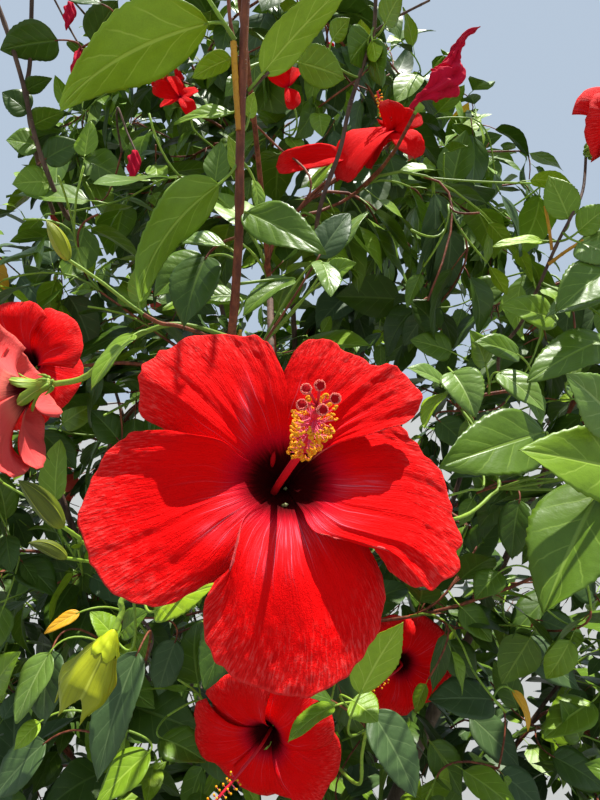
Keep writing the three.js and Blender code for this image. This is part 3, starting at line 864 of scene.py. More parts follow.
LEAF_FINISHES = (
    LeafFinish("leaf_deep", (0.051, 0.106, 0.007), (0.12, 0.2, 0.03), 0.42),
    LeafFinish("leaf_mid", (0.102, 0.19, 0.01), (0.24, 0.36, 0.05), 0.39),
    LeafFinish("leaf_fresh", (0.182, 0.308, 0.013), (0.36, 0.5, 0.07), 0.42),
    LeafFinish("leaf_bright", (0.285, 0.44, 0.014), (0.5, 0.64, 0.09), 0.46),
    LeafFinish("leaf_bluish", (0.062, 0.116, 0.032), (0.15, 0.22, 0.08), 0.48),
    LeafFinish("leaf_pale", (0.155, 0.26, 0.04), (0.35, 0.46, 0.14), 0.35),
    LeafFinish("leaf_yellowed", (0.75, 0.37, 0.012), (0.85, 0.55, 0.1), 0.5),
)


class StemTone(IntEnum):
    """The colours of twigs and stalks, in the order of their materials."""

    BROWN = 0
    REDDISH = 1
    GREEN = 2
    ORANGE = 3


BROWN, REDDISH, GREEN, ORANGE = StemTone

STEM_FINISHES = (
    BarkFinish("twig_brown", (0.15, 0.085, 0.055), (0.06, 0.032, 0.022), (0.3, 0.22, 0.16), 160.0, 0.7),
    BarkFinish("twig_reddish", (0.29, 0.082, 0.034), (0.12, 0.03, 0.014), (0.34, 0.13, 0.06), 200.0, 0.55),
    SoftFinish("stalk_green", (0.16, 0.26, 0.025), (0.26, 0.4, 0.035), (0.1, 0.17, 0.02)),
    SoftFinish("stalk_orange", (0.5, 0.22, 0.015), (0.62, 0.3, 0.02), (0.35, 0.13, 0.01)),
)


class Palette:
    """All the materials of the shrub, each built once."""

    def __init__(self) -> None:
        """Builds them."""
        soft = {
            "column": SoftFinish("column_red", (0.46, 0.003, 0.006), (0.74, 0.012, 0.035),
                                 (0.6, 0.005, 0.012)),
            "filament": SoftFinish("filament_pink", (0.78, 0.03, 0.12), (0.86, 0.2, 0.24), (0.7, 0.02, 0.08)),
            "anther": SoftFinish("anther_gold", (0.86, 0.3, 0.008), (0.92, 0.44, 0.016), (0.66, 0.13, 0.004),
                                 0.75, 1500.0, 0.15),
            "stigma": SoftFinish("stigma_crimson", (0.46, 0.003, 0.006), (0.4, 0.002, 0.006),
                                 (0.24, 0.001, 0.003),
                                 0.8, 900.0, 0.1),
            "fuzz": SoftFinish("stigma_fuzz", (0.78, 0.12, 0.1), (0.88, 0.3, 0.22), (0.8, 0.2, 0.15), 0.8),
            "stalk": SoftFinish("bract_green", (0.2, 0.32, 0.03), (0.26, 0.4, 0.04), (0.13, 0.22, 0.02), 0.5,
                                260.0),
            "speck": SoftFinish("claw_gap_green", (0.16, 0.17, 0.05), (0.3, 0.3, 0.12), (0.1, 0.1, 0.03)),
            "cup": SoftFinish("cup_lime", (0.52, 0.59, 0.008), (0.45, 0.53, 0.008), (0.38, 0.45, 0.01), 0.5,
                              260.0),
        }
        self.leaves = [finish.material() for finish in LEAF_FINISHES]
        self.stems = [finish.material() for finish in STEM_FINISHES]
        self.petal = PetalFinish().material()
        # petal_back's last colour fills the rim: painted sheen and a painted highlight along the margin
        self.petal_back = PetalFinish(
            "petal_back", (0.9, 0.105, 0.1), (0.74, 0.035, 0.04), (0.78, 0.2, 0.14), (0.06, 0.002, 0.004),
            (0.78, 0.34, 0.24), (0.8, 0.16, 0.12)
        ).material()
        self.petal_wilted = PetalFinish(
            "petal_wilted", (0.62, 0.01, 0.04), (0.26, 0.003, 0.02), (0.5, 0.01, 0.05)
        ).material()
        self.bark = BarkFinish("bark", (0.235, 0.165, 0.115), (0.085, 0.055, 0.038),
                               (0.38, 0.31, 0.24)).material()
        for name, finish in soft.items():
            setattr(self, name, finish.material())
        self.calyx = SepalFinish("calyx_green", (0.26, 0.38, 0.03), (0.15, 0.25, 0.02),
                                 (0.48, 0.56, 0.1)).material()
        self.bud = SepalFinish("bud_olive", (0.12, 0.15, 0.007), (0.055, 0.075, 0.003),
                               (0.34, 0.38, 0.03)).material()
        self.open_bud = SepalFinish("bud_lime", (0.31, 0.34, 0.004), (0.21, 0.24, 0.003),
                                    (0.42, 0.46, 0.04)).material()


# Growth, by the rule of the part's source


@dataclass(frozen=True)
class Course:
    """A Bezier curve through space."""

    corners: Array

    def at(self, share: Array | float) -> Array:
        """Points of the curve: its corners blended pair by pair by the share until one is left.

        Args:
            share: from 0 at the foot to 1 at the tip.

        Returns:
            One point for each share.
        """
        share = np.asarray(share, float)[..., None]
        level = [np.broadcast_to(corner, share.shape[:-1] + (3,)) for corner in self.corners]
        while len(level) > 1:
            level = [one + (other - one) * share for one, other in zip(level, level[1:])]
        return level[0]

    def heading(self, share: Array | float) -> Array:
        """Unit directions of the curve: the blended differences of its corners."""
        return unit(Course(np.diff(self.corners, axis=0)).at(share))

    def length(self) -> float:
        """The curve's length, in forty straight steps."""
        return float(np.linalg.norm(np.diff(self.at(np.linspace(0, 1, 41)), axis=0), axis=1).sum())


@dataclass(frozen=True)
class Rod:
    """A tapering rod along a course."""

    course: Course
    foot_radius: float
    tip_radius: float

    def radius(self, share: Array | float) -> Array | float:
        """How thick the rod is at a share of its course: half its width there."""
        return self.foot_radius + (self.tip_radius - self.foot_radius) * share


@dataclass(frozen=True)
class Limb(Rod):
    """A stem, bough or leader of the shrub."""

    name: str


@dataclass
class Joint:
    """A place on a twig that another twig may leave from."""

    point: Array
    heading: Array
    radius: float
    back: Array
    uses: int = 0


@dataclass(frozen=True)
class Twig(Rod):
    """A thin rod in a mass, drawn in straight pieces from ring to ring by the part's source."""

    leafy: bool
    pieces: int
    order: int = 0

    def along(self, share: float) -> Array:
        """A point of the rod as the part's source draws it.

        Args:
            share: from 0 at the foot to 1 at the tip.

        Returns:
            The point.
        """
        piece = min(self.pieces - 1, int(share * self.pieces))
        start, end = self.course.at(np.array([piece, piece + 1]) / self.pieces)
        return start + (end - start) * (share * self.pieces - piece)


@dataclass
class Bloom:
    """A bloom in a mass: its throat, the way it faces and the end of its stalk."""

    at: Array
    facing: Array
    opened: bool
    stalk: float

    @property
    def foot(self) -> Array:
        """Where the bloom's stalk ends."""
        return self.at - self.stalk * self.facing

    @property
    def scale(self) -> float:
        """How much room the bloom needs, as a share of an open one's."""
        return 1.0 if self.opened else 0.6


@dataclass
class Mass:
    """A mass of foliage: its space, the limb that it grows on from, and what has grown in it."""

    name: str
    limb: Limb
    random: Seeded
    middle: Array
    reach: Array
    twigs: list[Twig] = field(default_factory=list)
    joints: list[Joint] = field(default_factory=list)
    blooms: list[Bloom] = field(default_factory=list)


@dataclass(frozen=True)
class Ring:
    """One ring of masses: where it sits and how far a mass reaches from its middle."""

    radius: float
    height: float
    reach: Triple
    tip_radius: float
    tip_height: float


def polar(angle: float, radius: float, height: float) -> Array:
    """A point by its angle in degrees from +X to +Y, its distance from the upright axis and its height."""
    turn = math.radians(angle)
    return np.array([radius * math.cos(turn), radius * math.sin(turn), height])


@dataclass
class Crown:
    """The shrub's limbs and masses, grown by the same rule and random draws as the part's source."""

    front_angle: float = -90.0
    stems: int = 6
    stem_radii: tuple[float, float] = (0.017, 0.009)
    stem_corners: tuple[tuple[float, float], ...] = ((0.027, 0.13), (0.062, 0.35), (0.205, 0.69))
    stem_strays: tuple[float, ...] = (5, 0.008, 6, 0.025, 0.04)
    bough_radii: tuple[float, float] = (0.011, 0.007)
    bough_turn: float = 29.0
    bough_leaves_stem: float = 0.3
    leader_radii: tuple[float, float] = (0.01, 0.0065)
    leader_leaves_stem: float = 0.52
    lean: tuple[float, float] = (0.05, -0.04)
    mid: Ring = Ring(0.43, 1.21, (0.39, 0.39, 0.43), 0.305, 0.92)
    low: Ring = Ring(0.46, 0.725, (0.395, 0.395, 0.38), 0.31, 0.53)
    top: Ring = Ring(0.205, 1.61, (0.35, 0.35, 0.345), 0.14, 1.33)
    gap: float = 0.008
    jitter: float = 0.028
    clearance: float = 0.0003
    limb_room: float = 0.005
    limb_samples: int = 160
    rim_samples: int = 10
    bloom_tries: int = 200
    twig_tries: int = 80
    blooms_a_mass: int = 2
    twig_foot: float = 0.006
    twig_tip: float = 0.002
    first_share: float = 0.85
    later_share: float = 0.7
    sunk: float = 0.002
    shortest: float = 0.04
    margin: float = 0.026
    room: float = 0.01
    turning_cost: float = 0.6
    most_turning: float = 1.1
    onwards: float = 0.4
    upwards: float = 0.08
    coarse_twigs: int = 8
    coarse_spacing: float = 0.145
    bloom_stalk: float = 0.028
    petal_length: float = 0.07
    column_length: float = 0.052
    front_throat: Triple = (0.0, -0.868, 1.27)
    front_facing: Triple = (0.07, -0.93, 0.35)
    front_shoot_tip: Triple = (-0.027, -0.752, 1.53)
    limbs: list[Limb] = field(default_factory=list)
    masses: list[Mass] = field(default_factory=list)

    def grow(self) -> None:
        """Grows the limbs, then each mass: its stem, its blooms and the source's twigs."""
        stems = self.stem_limbs()
        boughs = self.bough_limbs(stems)
        leaders = self.leader_limbs(stems)
        self.limbs = stems + boughs + leaders
        self.masses = (
            self.mass_ring("foliage_mid", 21, stems, self.front_angle, self.mid)
            + self.mass_ring("foliage_low", 77, boughs, self.front_angle + self.bough_turn, self.low)
            + self.mass_ring("foliage_top", 61, leaders, self.front_angle, self.top)
        )
        share = np.linspace(0, 1, self.limb_samples + 1)
        self.limb_points = np.concatenate([limb.course.at(share) for limb in self.limbs])
        self.limb_radii = np.concatenate(
            [limb.radius(share) for limb in self.limbs]
        )
        self.facing = unit(np.array(self.front_facing))
        self.throat = np.array(self.front_throat)
        for mass in self.masses:
            self.grow_stem(mass)
            if mass is self.masses[0]:
                self.grow_front(mass)
            else:
                self.grow_blooms(mass)
            self.grow_twigs(mass, self.coarse_twigs, self.coarse_spacing)

    def stem_limbs(self) -> list[Limb]:
        """The six stems, from inside the foot's crown out to the middle ring of masses.

        Returns:
            The stems, the first one at the front.
        """
        random = Seeded(11)
        limbs = []
        for i in range(self.stems):
            angle = self.front_angle + i * 360 / self.stems
            strays = [(random() - 0.5) * 2 * amount for amount in self.stem_strays]
            foot, low, high = self.stem_corners
            corners = [
                polar(angle, *foot) + np.array([*self.lean, 0.0]) * foot[1],
                polar(angle + strays[0], low[0] + strays[1], low[1]),
                polar(angle + strays[2], high[0] + strays[3], high[1] + strays[4]),
                polar(angle, self.mid.tip_radius, self.mid.tip_height),
            ]
            limbs.append(Limb(Course(np.array(corners)), *self.stem_radii, f"stem_{i + 1}"))
        return limbs

    def bough_limbs(self, stems: Sequence[Limb]) -> list[Limb]:
        """A low bough from each stem, out and sideways to the low ring of masses.

        Args:
            stems: the stems.

        Returns:
            The boughs, in the order of their stems.
        """
        limbs = []
        for i, stem in enumerate(stems):
            angle = self.front_angle + i * 360 / self.stems
            start = stem.course.at(self.bough_leaves_stem)
            corners = [
                start,
                start + polar(angle + self.bough_turn, 0.085, 0.035),
                polar(angle + self.bough_turn * 0.9, 0.265, self.low.tip_height - 0.075),
                polar(angle + self.bough_turn, self.low.tip_radius, self.low.tip_height),
            ]
            limbs.append(Limb(Course(np.array(corners)), *self.bough_radii, f"low_bough_{i + 1}"))
        return limbs

    def leader_limbs(self, stems: Sequence[Limb]) -> list[Limb]:
        """A leader from every second stem, up through the middle to the top masses.

        Args:
            stems: the stems.

        Returns:
            The leaders, in the order of their stems.
        """
        limbs = []
        for j, stem in enumerate(stems[::2]):
            angle = self.front_angle + j * 2 * 360 / self.stems
            start = stem.course.at(self.leader_leaves_stem)
            corners = [
                start,
                start + np.array([0.0, 0.0, 0.2]),
                polar(angle, self.top.tip_radius - 0.03, self.top.tip_height - 0.3),
                polar(angle, self.top.tip_radius, self.top.tip_height),
            ]
            limbs.append(Limb(Course(np.array(corners)), *self.leader_radii, f"leader_{j + 1}"))
        return limbs

    def mass_ring(self, name: str, seed: int, limbs: Sequence[Limb], first_angle: float,
                  ring: Ring) -> list[Mass]:
        """The masses of one ring, one on the tip of each limb.

        Args:
            name: the start of the masses' names.
            seed: the first mass's seed.
            limbs: what they grow on from.
            first_angle: where the first mass lies, in degrees.
            ring: the ring's sizes.

        Returns:
            The masses, still empty.
        """
        masses = []
        for i, limb in enumerate(limbs):
            random = Seeded(seed + i)
            stray = np.array([random() - 0.5, random() - 0.5, random() - 0.5]) * 2 * self.jitter
            middle = polar(first_angle + i * 360 / len(limbs), ring.radius, ring.height) + stray
            masses.append(Mass(f"{name}_{i + 1}", limb, random, middle, np.array(ring.reach)))
        return masses

    def keeps_to_space(self, mass: Mass, points: Array, margin: float,
                       skin_margin: float | None = None) -> Array:
        """Whether points lie in a mass's space: in its ellipsoid and on its side of each plane halfway to
        another.

        Args:
            mass: the mass.
            points: one point or several.
            margin: room to the neighbours.
            skin_margin: room to the mass's own skin, where it differs.

        Returns:
            One truth value a point.
        """
        away = points - mass.middle
        shrunk = mass.reach - (margin if skin_margin is None else skin_margin)
        inside = np.linalg.norm(away / shrunk, axis=-1) <= 1
        for other in self.masses:
            if other is not mass:
                towards = other.middle - mass.middle
                limit = np.linalg.norm(towards) / 2 - self.gap / 2 - margin
                inside &= away @ unit(towards) < limit
        return inside

    def clear_of_limbs(self, points: Array, room: float) -> Array:
        """Whether points stay clear of every limb by some room.

        Args:
            points: one point or several.
            room: how far they are to stay from a limb's skin.

        Returns:
            One truth value a point.
        """
        points = np.atleast_2d(points)
        apart = np.linalg.norm(points[:, None] - self.limb_points[None], axis=-1)
        return (apart > self.limb_radii + room).all(-1)

    def add_twig(self, mass: Mass, twig: Twig) -> None:
        """Adds a twig, and a joint on each of its rings but the first.

        Args:
            mass: the mass that it grows in.
            twig: the twig.
        """
        mass.twigs.append(twig)
        for ring in range(1, twig.pieces + 1):
            share = ring / twig.pieces
            point = twig.course.at(share)
            back = unit(twig.course.at((ring - 1) / twig.pieces) - point)
            mass.joints.append(Joint(point, twig.course.heading(share), twig.radius(share), back))

    def grow_stem(self, mass: Mass) -> None:
        """The first twig of a mass: it meets its limb's tip and runs on through the middle of the mass.

        Args:
            mass: the mass.
        """
        heading = mass.limb.course.heading(1.0)
        start = mass.limb.course.at(1.0) + heading * self.clearance
        end = mass.middle + (start - mass.middle) * -0.35
        bend = start + heading * np.linalg.norm(start - end) * 0.5
        course = Course(np.array([start, bend, end]))
        self.add_twig(mass, Twig(course, mass.limb.tip_radius, self.twig_foot * 0.7, False, 4))

    def best_joints(self, mass: Mass, target: Array, uses: int = 2, count: int = 4) -> list[Joint]:
        """The joints that a new twig may leave from, best by distance times (1 + 0.6 times the turning back).

        Args:
            mass: the mass.
            target: where the twig is to end.
            uses: how many twigs may leave from one joint.
            count: how many joints are wanted.

        Returns:
            The joints.
        """
        free = [joint for joint in mass.joints if joint.uses < uses]
        towards = target - np.array([joint.point for joint in free])
        far = np.linalg.norm(towards, axis=1)
        turning = 1 - (towards * np.array([joint.heading for joint in free])).sum(1) / np.maximum(far, 1e-9)
        cost = np.where(turning < self.most_turning, far * (1 + self.turning_cost * turning), np.inf)
        order = np.argsort(cost, kind="stable")[:count]
        return [free[i] for i in order if np.isfinite(cost[i])]

    def grow_twig(self, mass: Mass, target: Array, fine: "FineGrowth | None" = None) -> bool:
        """Grows a twig to a target from the best joint that keeps it in its space.

        Args:
            mass: the mass.
            target: where the twig is to end.
            fine: the finer growth's own sizes, where it is such a twig.

        Returns:
            Whether there was such a joint.
        """
        shortest = fine.shortest if fine else self.shortest
        tip = fine.tip_radius if fine else self.twig_tip
        for joint in self.best_joints(mass, target, fine.uses if fine else 2):
            length = np.linalg.norm(joint.point - target)
            if length < shortest:
                return False
            start = joint.point + joint.back * self.sunk * (1 + joint.uses)
            bend = joint.point + joint.heading * self.onwards * length
            bend[2] += self.upwards * length
            share = self.later_share if joint.uses else self.first_share
            foot = min(max(joint.radius * share, tip), self.twig_foot)
            twig = Twig(Course(np.array([start, bend, target])), foot, tip, True, 2, 1 if fine else 0)
            tested = np.array([twig.along(i / 10) for i in range(1, 10)])
            inside = self.keeps_to_space(mass, tested, self.room).all()
            if inside and self.clear_of_limbs(tested, self.room).all():
                joint.uses += 1
                self.add_twig(mass, twig)
                return True
        return False

    def seeded_target(self, mass: Mass) -> Array:
        """A point in a mass's space, mostly near its skin: the cube root of 0.2 + 0.8 times a random number.

        Args:
            mass: the mass, whose random numbers are drawn on.

        Returns:
            The point.
        """
        up = 2 * mass.random() - 1
        turn = 2 * math.pi * mass.random()
        depth = (0.2 + 0.8 * mass.random()) ** (1 / 3)
        level = math.sqrt(1 - up * up)
        offset = np.array([level * math.cos(turn), level * math.sin(turn), up]) * depth
        return mass.middle + offset * (mass.reach - self.margin)

    def grow_twigs(self, mass: Mass, count: int, spacing: float, fine: "FineGrowth | None" = None) -> None:
        """Grows twigs to seeded targets that keep a spacing between them.

        Args:
            mass: the mass.
            count: how many twigs to grow at most.
            spacing: the least distance between their ends.
            fine: the finer growth's own sizes, where they are such twigs.
        """
        ends = [bloom.at for bloom in mass.blooms]
        if fine:
            ends += [twig.course.corners[-1] for twig in mass.twigs]
        grown = 0
        for _ in range(self.twig_tries * count):
            if grown == count:
                break
            target = self.seeded_target(mass)
            if ends and np.linalg.norm(np.array(ends) - target, axis=1).min() < spacing:
                continue
            if not self.keeps_to_space(mass, target, self.margin):
                continue
            if not self.clear_of_limbs(target, self.margin)[0]:
                continue
            if fine and not fine.may_grow(self, target):
                continue
            if self.grow_twig(mass, target, fine):
                ends.append(target)
                grown += 1

    def grow_bloom(self, mass: Mass, at: Array, facing: Array, opened: bool) -> bool:
        """Adds a bloom at a point, with a twig to carry it, and tells whether there is room for both.

        Args:
            mass: the mass.
            at: the bloom's throat.
            facing: the way that it faces.
            opened: whether it is open.

        Returns:
            Whether there was room for both.
        """
        bloom = Bloom(at, facing, opened, self.bloom_stalk)
        rim = at + self.petal_length * around(facing, -turns(self.rim_samples))
        skin = np.concatenate([rim, (rim + bloom.foot) / 2, [bloom.foot, at + facing * self.column_length]])
        if not self.clear_of_limbs(skin, self.limb_room).all() or not self.grow_twig(mass, bloom.foot):
            return False
        mass.blooms.append(bloom)
        return True

    def grow_blooms(self, mass: Mass) -> None:
        """Seeded blooms near a mass's skin, facing out of the shrub.

        Args:
            mass: the mass.
        """
        made = 0
        for _ in range(self.bloom_tries):
            if made == self.blooms_a_mass:
                break
            target = self.seeded_target(mass)
            outwards = unit(target * [1.0, 1.0, 0.0])
            from_middle = (target - mass.middle) / mass.reach
            at_skin = np.linalg.norm(from_middle) > 0.72 and from_middle @ outwards > 0.3
            apart = all(np.linalg.norm(bloom.at - target) > 3 * self.petal_length for bloom in mass.blooms)
            if at_skin and apart and self.keeps_to_space(mass, target, self.petal_length):
                made += self.grow_bloom(mass, target, unit(outwards + np.array([0.0, 0.0, 0.3])), True)

    def grow_front(self, mass: Mass) -> None:
        """The front mass: the shoot behind the large bloom, that bloom's stalk and the blooms near it.

        Args:
            mass: the front mass.
        """
        self.grow_twig(mass, np.array(self.front_shoot_tip))
        foot = self.throat - self.facing * (0.03 + 0.01 + self.clearance)
        joint = self.best_joints(mass, foot)[0]
        course = Course(np.array([joint.point, foot - self.facing * 0.045, foot]))
        self.add_twig(mass, Twig(course, 0.004, 0.0024, False, 4))
        for offset, facing, opened in NEAR_BLOOMS:
            self.grow_bloom(mass, self.throat + np.array(offset), unit(np.array(facing)), opened)

    def in_front_room(self, points: Array) -> Array:
        """Whether points lie behind or before the large bloom, where no leaf may grow.

        Args:
            points: the points, along the last axis.

        Returns:
            One truth value a point.
        """
        away = points - self.throat
        ahead = away @ self.facing
        aside = np.linalg.norm(away - ahead[..., None] * self.facing, axis=-1)
        return (ahead > -0.048) & (ahead < 0.26) & (aside < 0.04 + 0.9 * np.maximum(0, ahead + 0.048))


NEAR_BLOOMS = (
    ((-0.212, 0.262, 0.074), (0.45, -0.85, 0.2), True),
    ((-0.19, 0.16, 0.024), (-0.9, 0.05, -0.2), True),
    ((-0.022, 0.238, -0.232), (-0.3, -0.88, -0.1), True),
    ((0.112, 0.396, -0.238), (0.05, -0.95, 0.1), True),
    ((0.04, 0.35, 0.27), (-0.8, -0.4, 0.1), True),
    ((0.112, 0.228, 0.274), (0.6, -0.2, 0.75), False),
    ((0.208, 0.2, 0.216), (0.5, -0.8, 0.1), True),
)


@dataclass(frozen=True)
class FineGrowth:
    """The twigs finer than the source's, grown on by its rule."""

    per_mass: int = 84
    spacing: float = 0.05
    front_masses: tuple[str, ...] = ("foliage_mid_1", "foliage_low_1", "foliage_low_2", "foliage_top_1")
    front_count: int = 130
    front_spacing: float = 0.04
    shortest: float = 0.022
    tip_radius: float = 0.0011
    uses: int = 3
    front_hollow: float = 0.5
    hollow_width: float = 1.25

    def may_grow(self, crown: Crown, target: Array) -> bool:
        """Whether a fine twig may end here: not before the large bloom, nor in the hollow before it.

        Args:
            crown: the whole crown.
            target: where the twig is to end.

        Returns:
            Whether it may.
        """
        depth, offset = VIEW.depth_and_offset(target)
        in_hollow = depth < self.front_hollow and offset < self.hollow_width
        return not in_hollow and not crown.in_front_room(target)

    def grow(self, crown: Crown) -> None:
        """Grows the fine twigs of every mass.

        Args:
            crown: the whole crown.
        """
        for mass in crown.masses:
            front = mass.name in self.front_masses
            count = self.front_count if front else self.per_mass
            spacing = self.front_spacing if front else self.spacing
            crown.grow_twigs(mass, count, spacing, self)


# Leaves


@dataclass
class LeafBatch:
    """Many leaves at once: where each sits, how it lies, its size and how it bends."""

    roots: Array
    headings: Array
    normals: Array
    lengths: Array
    widths: Array
    bends: Array
    folds: Array
    twists: Array
    waves: Array
    tones: Array

    def chosen(self, mask: Array) -> "LeafBatch":
        """The leaves that a mask picks."""
        return LeafBatch(*(getattr(self, name)[mask] for name in self.__dataclass_fields__))

    @staticmethod
    def joined(batches: Sequence["LeafBatch"]) -> "LeafBatch":
        """Several batches as one."""
        names = LeafBatch.__dataclass_fields__
        return LeafBatch(*(np.concatenate([getattr(batch, name) for batch in batches]) for name in names))


@dataclass(frozen=True)
class LeafShape:
    """A leaf's blade as a grid: egg-shaped with a drawn-out tip and small teeth on its outer part."""

    rows: int
    columns: int
    teeth: float = 0.0
    tooth_count: int = 9
    widest: float = 0.38
    roundness: float = 0.6

    def half_width(self, along: Array) -> Array:
        """Half the blade's width as a share of the widest: powers of v / w and of (1 - v) / (1 - w),
        multiplied.

        Args:
            along: from 0 at the blade's base to 1 at its tip.

        Returns:
            The half widths.
        """
        power = self.roundness * (1 - self.widest) / self.widest
        bare = (along / self.widest) ** self.roundness * ((1 - along) / (1 - self.widest)) ** power
        saw = (along * self.tooth_count) % 1.0
        return bare * (1 + self.teeth * (0.5 - saw) * smooth(along, 0.22, 0.5)
                       * smooth(1.0 - along, 0.0, 0.08))

    def surface(self, batch: LeafBatch) -> Surface:
        """Lays the blade of each leaf: its midrib is an arc, its halves fold up and it twists.

        Args:
            batch: the leaves.

        Returns:
            All the blades as one surface, whose faces point to the upper side.
        """
        along = np.linspace(0.0, 1.0, self.rows) ** 0.9
        side = np.linspace(-1.0, 1.0, self.columns)
        half = self.half_width(np.clip(along, 1e-6, 1.0))
        half[-1] = 0.0
        numbers = (batch.lengths, batch.widths, batch.bends, batch.folds, batch.twists, batch.waves)
        lengths, widths, bends, folds, twists, waves = (values[:, None, None] for values in numbers)
        v, u = along[None, :, None], side[None, None, :]
        bend = np.maximum(np.abs(bends), 1e-3) * np.sign(bends + 1e-9)
        aside = u * half[None, :, None] * widths / 2
        ahead = lengths * np.sin(bend * v) / bend
        rise = -lengths * (1 - np.cos(bend * v)) / bend
        fold = np.abs(aside) * np.tan(folds) * (1 - 0.45 * np.abs(u))
        wave = lengths * 0.022 * np.sin(9.0 * v + waves) * u**2 * np.sign(u)
        turn = twists * v
        over = fold + wave
        x = aside * np.cos(turn) - over * np.sin(turn)
        z = rise + aside * np.sin(turn) + over * np.cos(turn)
        right = np.cross(batch.headings, batch.normals)
        points = (
            batch.roots[:, None, None]
            + x[..., None] * right[:, None, None]
            + ahead[..., None] * batch.headings[:, None, None]
            + z[..., None] * batch.normals[:, None, None]
        )
        return sheets(points, (side + 1) / 2, along, batch.tones)


@dataclass(frozen=True)
class LeafRule:
    """How leaves stand on a twig: by the golden angle, at even steps, smaller towards its tip."""

    step: float = 0.0175
    first_at: float = 0.1
    last_at: float = 0.99
    length: float = 0.076
    width: float = 0.6
    petiole: float = 0.016
    opens: float = 58.0
    tip_opens: float = 18.0
    droop: float = 0.3
    tilt: float = 0.4
    overhang: float = 0.08
    limb_room: float = 0.005
    bloom_room: float = 0.062
    hollow: float = 0.52
    hollow_width: float = 1.12
    yellowed: float = 0.008
    bluish: float = 0.16

    def grow(self, crown: Crown, mass: Mass, seed: int) -> tuple[LeafBatch, Surface]:
        """Sets a mass's twigs with leaves.

        Args:
            crown: the whole crown.
            mass: the mass.
            seed: for the numbers that vary from leaf to leaf.

        Returns:
            The leaves and their stalks.
        """
        random = np.random.default_rng(seed)
        points, headings, turns, youth, tones = [], [], [], [], []
        for number, twig in enumerate(t for t in mass.twigs if t.leafy):
            count = max(2, round((self.last_at - self.first_at) * twig.course.length() / self.step))
            share = np.linspace(self.last_at, self.first_at, count)
            points.append(twig.course.at(share))
            headings.append(twig.course.heading(share))
            turns.append(np.arange(count) * GOLDEN_ANGLE + number)
            youth.append(np.arange(count))
            tones.append(np.full(count, self.spray_tone(random, mass, twig)))
        point, heading = np.concatenate(points), np.concatenate(headings)
        turn, young = np.concatenate(turns), np.concatenate(youth)
        count = len(point)
        tone = np.concatenate(tones)
        tone = np.where((young < 2) & (random.random(count) < 0.5), np.minimum(tone + 1, BRIGHT), tone)
        tone = np.where((young > 3) & (random.random(count) < self.yellowed), YELLOWED, tone)
        opens = np.radians(np.where(young == 0, self.tip_opens, self.opens)
                           + random.uniform(-14, 14, count))[:, None]
        lean = heading * np.cos(opens) + around(heading, turn) * np.sin(opens)
        lean[:, 2] -= self.droop + random.uniform(-0.15, 0.35, count)
        lean = unit(lean)
        outwards = unit((point - mass.middle) * [1.0, 1.0, 0.0])
        lift = np.array([0.0, 0.0, 1.0]) + self.tilt * outwards + random.normal(0, 0.28, (count, 3))
        normal = unit(lift - (lift * lean).sum(1)[:, None] * lean)
        size = (0.42 + 0.58 * smooth(young, -0.5, 3.5)) * random.uniform(0.8, 1.12, count)
        stalk = self.petiole * size * random.uniform(0.7, 1.6, count)
        batch = LeafBatch(
            roots=point + lean * stalk[:, None],
            headings=lean,
            normals=normal,
            lengths=self.length * size,
            widths=self.length * size * self.width * random.uniform(0.85, 1.12, count),
            bends=random.uniform(0.05, 1.05, count),
            folds=random.uniform(0.05, 0.55, count),
            twists=random.uniform(-0.5, 0.5, count),
            waves=random.uniform(0, 6.28, count),
            tones=tone,
        )
        kept = self.keeps(crown, mass, batch)
        path = np.stack([point, point + lean * stalk[:, None] * 0.5 + [0, 0, 0.001],
                         batch.roots + lean * 0.002], 1)
        radii = np.array([0.0011, 0.0008, 0.0007]) * size[:, None]
        tone = np.where(tone == DEEP, REDDISH, GREEN)
        return batch.chosen(kept), tubes(path[kept], radii[kept], 3, tone[kept])

    def spray_tone(self, random: np.random.Generator, mass: Mass, twig: Twig) -> Tone:
        """The colour of one spray: fresher near the mass's skin and up high, and a few bluish.

        Args:
            random: the mass's random numbers.
            mass: the mass.
            twig: the twig that carries the spray.

        Returns:
            The tone.
        """
        away = (twig.course.corners[-1] - mass.middle) / mass.reach
        fresh = 0.55 * np.linalg.norm(away) + 0.35 * away[2] + random.normal(0, 0.3)
        if random.random() < self.bluish:
            return BLUISH
        return Tone(int(np.clip(np.floor(fresh * 2.6), DEEP, FRESH)))

    def keeps(self, crown: Crown, mass: Mass, batch: LeafBatch) -> Array:
        """Whether each leaf keeps to its mass's space, clear of limbs, blooms and the large bloom's hollow.

        Args:
            crown: the whole crown.
            mass: the mass.
            batch: its leaves.

        Returns:
            One truth value a leaf.
        """
        kept = np.ones(len(batch.roots), bool)
        for share in (0.25, 0.6, 1.0):
            drop = batch.normals * (batch.bends * share**2 * batch.lengths * -0.5)[:, None]
            at = batch.roots + batch.headings * (batch.lengths * share)[:, None] + drop
            kept &= crown.keeps_to_space(mass, at, 0.0, -self.overhang)
            kept &= crown.clear_of_limbs(at, self.limb_room)
            kept &= ~crown.in_front_room(at)
            depth, offset = VIEW.depth_and_offset(at)
            kept &= ~((depth < self.hollow) & (offset < self.hollow_width))
            for bloom in crown.masses[0].blooms + mass.blooms:
                kept &= np.linalg.norm(at - bloom.at, axis=1) > self.bloom_room * bloom.scale
        return kept


